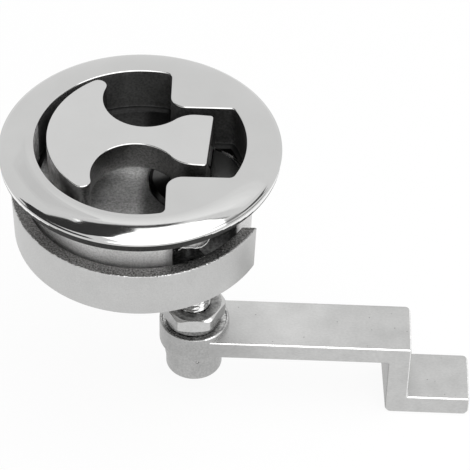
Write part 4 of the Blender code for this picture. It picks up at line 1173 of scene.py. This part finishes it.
@dataclass
class JamNut:
    """Thin hexagon nut with both faces chamfered, and the washer under it."""

    flats: float = mm(16.7)
    chamfer_slope: float = math.tan(math.radians(28.0))
    face_share: float = 0.965
    corner: float = mm(0.35)
    softness: float = mm(0.12)
    yaw: float = math.radians(2.5)
    drop: float = mm(1.05)
    lift: float = mm(0.3)
    bore: float = mm(4.4)
    countersink: float = mm(5.25)
    around: int = 360
    washer_bore: float = mm(5.25)
    washer_foot: float = mm(8.2)
    washer_rim: float = mm(7.2)
    washer_lift: float = mm(0.25)

    def reach(self, angle: float) -> float:
        """Return the hexagon's radius at an angle, its corners slightly rounded."""
        apothem = self.flats / 2
        turn = math.pi / 3
        off = (angle + turn / 2) % turn - turn / 2
        sharp = apothem / math.cos(off)
        limit = apothem / math.cos(turn / 2) - self.corner
        soft = self.softness
        return -soft * math.log(math.exp(-sharp / soft) + math.exp(-limit / soft))

    def build(self) -> Piece:
        """Build the nut from rings round its axis."""
        low, high = (corner.z - self.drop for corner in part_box("jam_nut"))
        low += self.lift
        face = self.flats / 2 * self.face_share
        angles = [math.tau * i / self.around for i in range(self.around)]
        edge = [self.reach(a + math.pi / 6) for a in angles]
        drop = [max(reach - face, 0.0) * self.chamfer_slope for reach in edge]

        def ring(radius: float, z: float) -> Ring:
            return [polar(radius, a, z) for a in angles]

        def hexagon(share: float, level: Callable[[float], float]) -> Ring:
            made = []
            for angle, full, fall in zip(angles, edge, drop):
                radius = face + (full - face) * share
                made.append(polar(radius, angle, level(fall * share)))
            return made

        sink = (self.countersink - self.bore) * 0.6
        rings = [ring(self.bore, low + sink), ring(self.countersink, low), ring(face, low)]
        rings += [hexagon(s, lambda d: low + d) for s in (0.5, 1.0)]
        rings += [hexagon(s, lambda d: high - d) for s in (1.0, 0.5)]
        rings += [ring(face, high), ring(self.countersink, high), ring(self.bore, high - sink)]
        turn = Matrix.Rotation(self.yaw, 4, 'Z')
        return SHOP.solid("jam_nut_hexagon", loft(rings, cap=False), SPINDLE_FRAME @ turn)

    def build_washer(self) -> Piece:
        """Build the split washer between the nut and the arm, its outer wall slightly crowned."""
        low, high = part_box("lock_washer")
        top = high.z - self.drop + self.washer_lift
        section = loop_rounded([
            (self.washer_bore, low.z, mm(0.2)), (self.washer_foot, low.z, mm(0.3)),
            (self.washer_rim, top, mm(0.4)), (self.washer_bore, top, mm(0.2))], 5)
        return SHOP.solid("lock_washer_split", split_ring(section, 160, HANDLE_YAW), SPINDLE_FRAME)

    def dress(self, nut: Piece, washer: Piece) -> None:
        """Give the nut and washer their finishes."""
        top = max(vertex.co.z for vertex in nut.data.vertices) - mm(0.5)

        def finish_of(centre: Vector, normal: Vector) -> Finish:
            if normal.z > 0.95 and centre.z > top:
                return NUT_TOP
            # The flats that face across X take painted shade.
            return NUT_SIDE_SHADE if abs(normal.x) > 0.5 and abs(normal.z) < 0.2 else NUT_STEEL

        SHOP.dress(nut, finish_of)
        SHOP.hand_over(nut, Body.SPINDLE, Slot.TURNED, "jam_nut")
        SHOP.deliver(washer, WASHER_SHADE, Body.SPINDLE, Slot.SATIN, "lock_washer")


@dataclass
class CamArm:
    """Cast arm: dished boss and hub, bar, leg and foot."""

    top: float = mm(-65.0)
    width: float = mm(17.9)
    thickness: float = mm(5.8)
    leg_x: float = mm(62.5)
    leg_thickness: float = mm(6.3)
    step: float = mm(19.9)
    foot_thickness: float = mm(6.3)
    foot_x: float = mm(80.8)
    back_corner: float = mm(1.8)
    leg_flare: float = mm(0.9)
    low_corner: float = mm(1.8)
    edge: float = mm(0.5)
    under_bevel: float = 0.7
    boss: float = mm(10.1)
    boss_top: float = mm(-63.2)
    boss_bottom: float = mm(-71.15)
    boss_shift: float = mm(-0.4)
    dish: float = mm(9.4)
    dish_depth: float = mm(0.45)
    hub: float = mm(8.5)
    hub_bottom: float = mm(-81.5)
    hub_step: float = mm(0.35)
    bore: float = mm(5.05)
    pit: float = mm(0.55)
    pit_angle: float = math.radians(-81.0)
    pit_lift: float = mm(2.5)
    # Headings of the boss's rim that take the painted highlight.
    highlight_headings: tuple[float, float] = (-72.0, -36.0)

    def bar(self) -> Solid:
        """Return bar, leg and foot with their edges softened, lying with their width along Z."""
        under = self.top - self.thickness
        foot_top = self.top - self.step
        foot_low = foot_top - self.foot_thickness
        inner = self.leg_x - self.leg_thickness
        soft = self.edge + mm(0.15)
        side = loop_rounded([
            (0, self.top, 0), (0, under, 0), (inner, under, mm(0.3)), (inner, foot_low, self.low_corner),
            (self.foot_x, foot_low, self.low_corner), (self.foot_x, foot_top, soft),
            (self.leg_x, foot_top, mm(0.3)), (self.leg_x, self.top, soft)], 6)
        half = self.width / 2
        depths = [self.edge * (1 - math.cos(math.pi / 2 * k / 5)) for k in range(6)]
        depths += [self.edge + (self.back_corner - self.edge) * k / 4 for k in range(1, 5)]
        stations = [-half + depth for depth in depths] + [half - depth for depth in reversed(depths)]
        rings = []
        for z in stations:
            depth = half - abs(z)
            share = min(depth / self.edge, 1.0)
            inset = self.edge * (1 - math.sqrt(1 - (1 - share) ** 2))
            ring = []
            for x, y in shrunk(side, inset):
                if (x < inner - mm(1) and y < under + self.edge * 1.1) or y < foot_low + self.edge * 1.1:
                    y -= inset * self.under_bevel
                if z < 0:
                    corner = self.back_corner
                    round_off = corner - math.sqrt(corner ** 2 - (corner - depth) ** 2)
                    at_leg = abs(x - self.leg_x) < mm(1.2) and y > foot_top - mm(0.5)
                    x -= (round_off - inset) if at_leg or x > self.foot_x - mm(2.5) else 0.0
                if y < under - mm(0.2):
                    flare = self.leg_flare * (0.5 - z / self.width)
                    x -= flare * max(0.0, 1.0 - abs(x - inner) / mm(2.2))
                ring.append(Vector((x, y, z)))
            rings.append(ring)
        return loft(rings)

    def build(self) -> Piece:
        """Build the arm from its bar, boss and hub, then cut the dish and the bore."""
        piece = SHOP.solid("cam_arm_casting", self.bar(), ALONG_Y)
        shift = Matrix.Translation((self.boss_shift, 0, 0))
        mid = (self.boss_bottom + self.hub_bottom) / 2
        waist = self.hub - self.hub_step
        SHOP.join(piece, turned(rounded([
            (0, self.boss_top, 0), (self.boss, self.boss_top, mm(0.35)),
            (self.boss, self.boss_bottom, mm(0.6)),
            (self.hub, self.boss_bottom - mm(0.9), mm(0.3)), (self.hub, mid, mm(0.15)),
            (waist, mid - self.hub_step, mm(0.15)), (waist, self.hub_bottom, mm(0.5)),
            (0, self.hub_bottom, 0)], 5), 160), shift)
        floor = self.boss_top - self.dish_depth
        above, below = self.boss_top + mm(1), self.hub_bottom - mm(1)
        SHOP.cut(piece, turned(rounded([
            (0, above, 0), (self.dish, above, 0), (self.dish, floor, mm(0.3)),
            (self.bore, floor, 0), (self.bore, below, 0), (0, below, 0)], 4), 160), shift)
        pit = turned(arc(0, 0, self.pit, math.pi / 2, -math.pi / 2, 10), 24)
        at = Matrix.Translation(polar(self.hub, self.pit_angle, mid + self.pit_lift))
        SHOP.cut(piece, pit, shift @ at)
        piece.data.transform(SPINDLE_FRAME @ Matrix.Rotation(ARM_YAW, 4, 'Z'))
        return piece

    def finish_of(self, centre: Vector, normal: Vector) -> Finish:
        """Return the finish of a face; the boss's rim has a painted highlight on the near right, and the hub
        and the boss's side painted shade.
        """
        reach = math.hypot(centre.x - AXIS_X - self.boss_shift, centre.y)
        if reach < self.dish + mm(0.05) and centre.z > self.boss_top - mm(0.6) and normal.z > -0.5:
            return DISH
        if reach < self.boss + mm(0.1):
            if centre.z > self.boss_top - mm(0.4):
                heading = math.degrees(math.atan2(centre.y, centre.x - AXIS_X))
                return ARM_EDGE_WEAR_AND_HIGHLIGHT if self.highlight_headings[0] < heading < self.highlight_headings[1] else HUB_SHADE
            return HUB_SHADE if abs(normal.z) < 0.8 or centre.z < self.boss_bottom else ARM_CAST
        if normal.x < -0.6:
            return LEG_SIDE_SHADE
        # Rounded edges that face up or to the near right take the painted highlight.
        flat = max(abs(normal.x), abs(normal.y), abs(normal.z)) >= 0.975
        if not flat and (normal.z > 0.15 or (normal.x > 0.2 and normal.y < -0.2)):
            return ARM_EDGE_WEAR_AND_HIGHLIGHT
        return ARM_FRONT if normal.y < -0.8 else ARM_CAST

    def dress(self, piece: Piece) -> None:
        """Give the arm its finishes."""
        SHOP.dress(piece, self.finish_of)
        SHOP.hand_over(piece, Body.SPINDLE, Slot.SATIN, "cam_arm")


@dataclass
class ClampScrews:
    """Two socket screws and their spring washers under the ring's lugs."""

    shank: float = mm(2.0)
    head: float = mm(3.5)
    head_height: float = mm(4.0)
    socket: float = mm(3.0)
    socket_share: float = 0.6
    washer_bore: float = mm(2.2)

    def build(self) -> None:
        """Build, dress and hand over both screws and washers."""
        for side, name in SIDES:
            place = beside(LUG_AT, side)
            low, high = (corner.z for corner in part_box(f"ring_screw_{name}"))
            shoulder = low + self.head_height
            screw = SHOP.solid(f"ring_screw_{name}_turned", turned(rounded([
                (0, high, 0), (self.shank, high, mm(0.3)), (self.shank, shoulder, 0),
                (self.head, shoulder, mm(0.2)), (self.head, low, mm(0.5)), (0, low, 0)]), 64), place)
            depth = self.head_height * self.socket_share
            socket = prism(circle(self.socket / math.sqrt(3), 6), low - mm(1), low + depth)
            SHOP.cut(screw, socket, place)
            SHOP.deliver(screw, TURNED, Body.HOUSING, Slot.TURNED, f"ring_screw_{name}")
            low, high = (corner.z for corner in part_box(f"ring_screw_washer_{name}"))
            section = loop_rounded([
                (self.washer_bore, low, mm(0.1)), (self.head, low, mm(0.2)), (self.head, high, mm(0.2)),
                (self.washer_bore, high, mm(0.1))], 3)
            washer = SHOP.solid(f"ring_screw_washer_{name}_split", split_ring(section, 64), place)
            SHOP.deliver(washer, SPRING_STEEL, Body.HOUSING, Slot.SATIN, f"ring_screw_washer_{name}")


@dataclass
class Studio:
    """Camera, pale floor and soft light."""

    focal_px: float = 2500.0
    image_px: float = 470.0
    elevation: float = math.radians(44.206)
    roll: float = math.radians(1.481)
    distance: float = mm(700.341)
    target: tuple[float, float, float] = (mm(26.25), 0.0, mm(-30.06))
    floor_size: float = 6.0
    floor_drop: float = mm(0.3)
    floor_white: float = 0.92
    fill: float = 0.45
    lamp_at: tuple[float, float, float] = (0.40, -0.69, 1.0)
    lamp_size: Point = (1.34, 2.22)
    lamp_watts: float = 17.0
    card_distance: float = 0.8

    def camera(self) -> None:
        """Place the camera where the photograph was taken from."""
        data = bpy.data.cameras.new("photograph")
        data.sensor_width = 36.0
        data.lens = self.focal_px / self.image_px * data.sensor_width
        data.clip_start = 0.05
        data.clip_end = 50.0
        camera = bpy.data.objects.new("photograph", data)
        turn = Matrix.Rotation(math.pi / 2 - self.elevation, 4, 'X') @ Matrix.Rotation(self.roll, 4, 'Z')
        back = Matrix.Translation((0.0, 0.0, self.distance))
        camera.matrix_world = Matrix.Translation(self.target) @ turn @ back
        bpy.context.scene.collection.objects.link(camera)
        bpy.context.scene.camera = camera

    def floor(self) -> None:
        """Lay a pale floor that reads white and keeps a faint shadow."""
        bm = bmesh.new()
        bmesh.ops.create_grid(bm, x_segments=1, y_segments=1, size=self.floor_size / 2)
        drop = Matrix.Translation((0, 0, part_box("cam_arm")[0].z - self.floor_drop))
        floor = SHOP.solid("floor", bm, drop)
        material, tree = node_material("pale_floor")
        shader = tree.nodes["Principled BSDF"]
        shader.inputs["Base Color"].default_value = (1.0, 1.0, 1.0, 1.0)
        shader.inputs["Roughness"].default_value = 1.0
        shader.inputs["Specular IOR Level"].default_value = 0.0
        glow = tree.nodes.new("ShaderNodeEmission")
        glow.inputs["Strength"].default_value = 1.0
        mix = tree.nodes.new("ShaderNodeMixShader")
        tree.links.new(self.seen_rays(tree, self.floor_white), mix.inputs["Fac"])
        tree.links.new(shader.outputs["BSDF"], mix.inputs[1])
        tree.links.new(glow.outputs["Emission"], mix.inputs[2])
        tree.links.new(mix.outputs["Shader"], tree.nodes["Material Output"].inputs["Surface"])
        floor.data.materials.append(material)

    def seen_rays(self, tree: Tree, share: float) -> Socket:
        """Return a socket that is share for camera, glossy and transmission rays, and 0 for others."""
        path = tree.nodes.new("ShaderNodeLightPath")
        seen = path.outputs["Is Camera Ray"]
        for kind in ("Is Glossy Ray", "Is Transmission Ray"):
            seen = node_math(tree, 'MAXIMUM', seen, path.outputs[kind])
        return node_math(tree, 'MULTIPLY', seen, share)

    def world(self) -> None:
        """Surround the part with plain light."""
        world = bpy.data.worlds.new("studio")
        world.use_nodes = True
        bpy.context.scene.world = world
        tree = world.node_tree
        back = tree.nodes["Background"]
        back.inputs["Color"].default_value = (1.0, 1.0, 1.0, 1.0)
        level = node_range(tree, self.seen_rays(tree, 1.0), 0.0, 1.0, self.fill, 1.0)
        tree.links.new(level, back.inputs["Strength"])

    def softbox(self) -> None:
        """Hang a soft lamp overhead, facing down."""
        data = bpy.data.lights.new("overhead_softbox", 'AREA')
        data.shape = 'RECTANGLE'
        data.size, data.size_y = self.lamp_size
        data.energy = self.lamp_watts
        lamp = bpy.data.objects.new("overhead_softbox", data)
        lamp.location = self.lamp_at
        bpy.context.scene.collection.objects.link(lamp)

    def card(
        self, name: str, facing: Point, outline: Sequence[Point], level: float, nearer: float = 0.0,
    ) -> None:
        """Stand a card that only reflections see.

        Args:
            name: The card's name.
            facing: Azimuth and elevation in degrees of the direction in which it stands.
            outline: Its outline in metres, as (right, up) on its own plane.
            level: How bright it looks; 1 is the white background.
            nearer: How much nearer to the part than the other cards it stands, in metres.
        """
        azimuth, elevation = (math.radians(angle) for angle in facing)
        out = polar(math.cos(elevation), azimuth, math.sin(elevation))
        right = Vector((-math.sin(azimuth), math.cos(azimuth), 0.0))
        up = out.cross(right)
        bm = bmesh.new()
        away = out * (self.card_distance - nearer)
        bm.faces.new([bm.verts.new(away + right * x + up * y) for x, y in outline])
        card = SHOP.solid(name, bm)
        material, tree = node_material(name)
        glow = tree.nodes.new("ShaderNodeEmission")
        glow.inputs["Color"].default_value = (level, level, level, 1.0)
        tree.links.new(glow.outputs["Emission"], tree.nodes["Material Output"].inputs["Surface"])
        card.data.materials.append(material)
        card.visible_camera = False
        card.visible_shadow = False
        card.visible_diffuse = False

    def build(self) -> None:
        """Set up the whole studio."""
        scene = bpy.context.scene
        scene.view_settings.view_transform = 'Standard'
        self.camera()
        self.world()
        self.floor()
        self.softbox()
        self.card("left_card", (178.0, 50.0), (
            (-0.05, -0.79), (-0.04, -0.26), (-0.14, 0.05), (-0.24, 0.23), (-0.28, 0.31), (-0.26, 0.34),
            (-0.36, 0.39), (-0.42, 0.47), (-0.48, 0.53), (-0.52, 0.60), (-0.56, 0.68), (-0.57, 0.82),
            (-0.50, 0.75), (-0.41, 0.68), (-0.32, 0.62), (-0.23, 0.57), (-0.12, 0.51), (0.11, 0.42),
            (0.41, 0.15), (0.42, -0.04), (0.39, -0.25), (0.25, -0.44), (0.15, -0.80)), 0.05)
        self.card("left_shade", (114.0, 51.0), (
            (-0.09, -0.14), (0.14, -0.14), (0.14, 0.12), (-0.09, 0.12)), 0.94)
        self.card("left_shade_deep", (114.0, 51.0), (
            (-0.04, -0.10), (0.10, -0.10), (0.10, 0.08), (-0.04, 0.08)), 0.89, 0.01)
        self.card("right_card", (-5.0, 22.0), (
            (-0.21, 0.12), (-0.24, -0.02), (-0.16, -0.20), (-0.02, -0.22), (-0.02, 0.20),
            (-0.06, 0.32)), 0.33)
        self.card("right_card_dark", (-5.0, 22.0), (
            (-0.02, 0.17), (-0.02, -0.20), (0.14, -0.20), (0.28, -0.02), (0.38, 0.14)), 0.10, 0.005)
        self.card("top_card_pale", (0.0, 90.0), (
            (0.60, -0.10), (0.36, -0.10), (0.325, -0.14), (0.30, -0.20), (0.26, -0.26), (0.24, -0.31),
            (0.15, -0.40), (0.02, -0.50), (-0.13, -0.70), (-0.13, -0.95), (0.60, -0.95)), 1.0)
        self.card("top_card_line", (0.0, 90.0), (
            (0.333, -0.15), (0.312, -0.20), (0.274, -0.26), (0.254, -0.32), (0.25, -0.36), (0.235, -0.36),
            (0.24, -0.31), (0.26, -0.26), (0.30, -0.20), (0.325, -0.14)), 0.12, 0.008)
        self.card("top_card_grey", (0.0, 90.0), (
            (0.02, -0.52), (-0.13, -0.70), (-0.18, -0.80), (-0.02, -0.88), (0.08, -0.66)), 0.74, 0.004)
        self.card("top_card_dim", (0.0, 90.0), (
            (-0.18, -0.80), (-0.53, -1.33), (-1.00, -2.08), (-0.02, -2.08), (-0.02, -0.86)), 0.36)
        for i, (low, wide) in enumerate(((-0.10, 0.42), (-0.05, 0.34), (-0.01, 0.27), (0.03, 0.20))):
            top = wide * 0.9
            outline = ((-wide, low), (wide, low), (top, 0.08), (-top, 0.08))
            self.card(f"glow_card_{i}", (79.0, 57.0), outline, 1.07 + 0.07 * i, 0.003 * i)


def main() -> None:
    """Build the latch and its studio."""
    logging.basicConfig(level=logging.INFO, format="%(name)s %(message)s")
    housing = Housing()
    housing.dress(housing.build())
    ring = BackingRing()
    ring.dress(ring.build())
    handle = Handle()
    handle.dress(handle.build())
    Spindle().build()
    nut = JamNut()
    nut.dress(nut.build(), nut.build_washer())
    arm = CamArm()
    arm.dress(arm.build())
    ClampScrews().build()
    Studio().build()


if __name__ == "__main__":
    main()
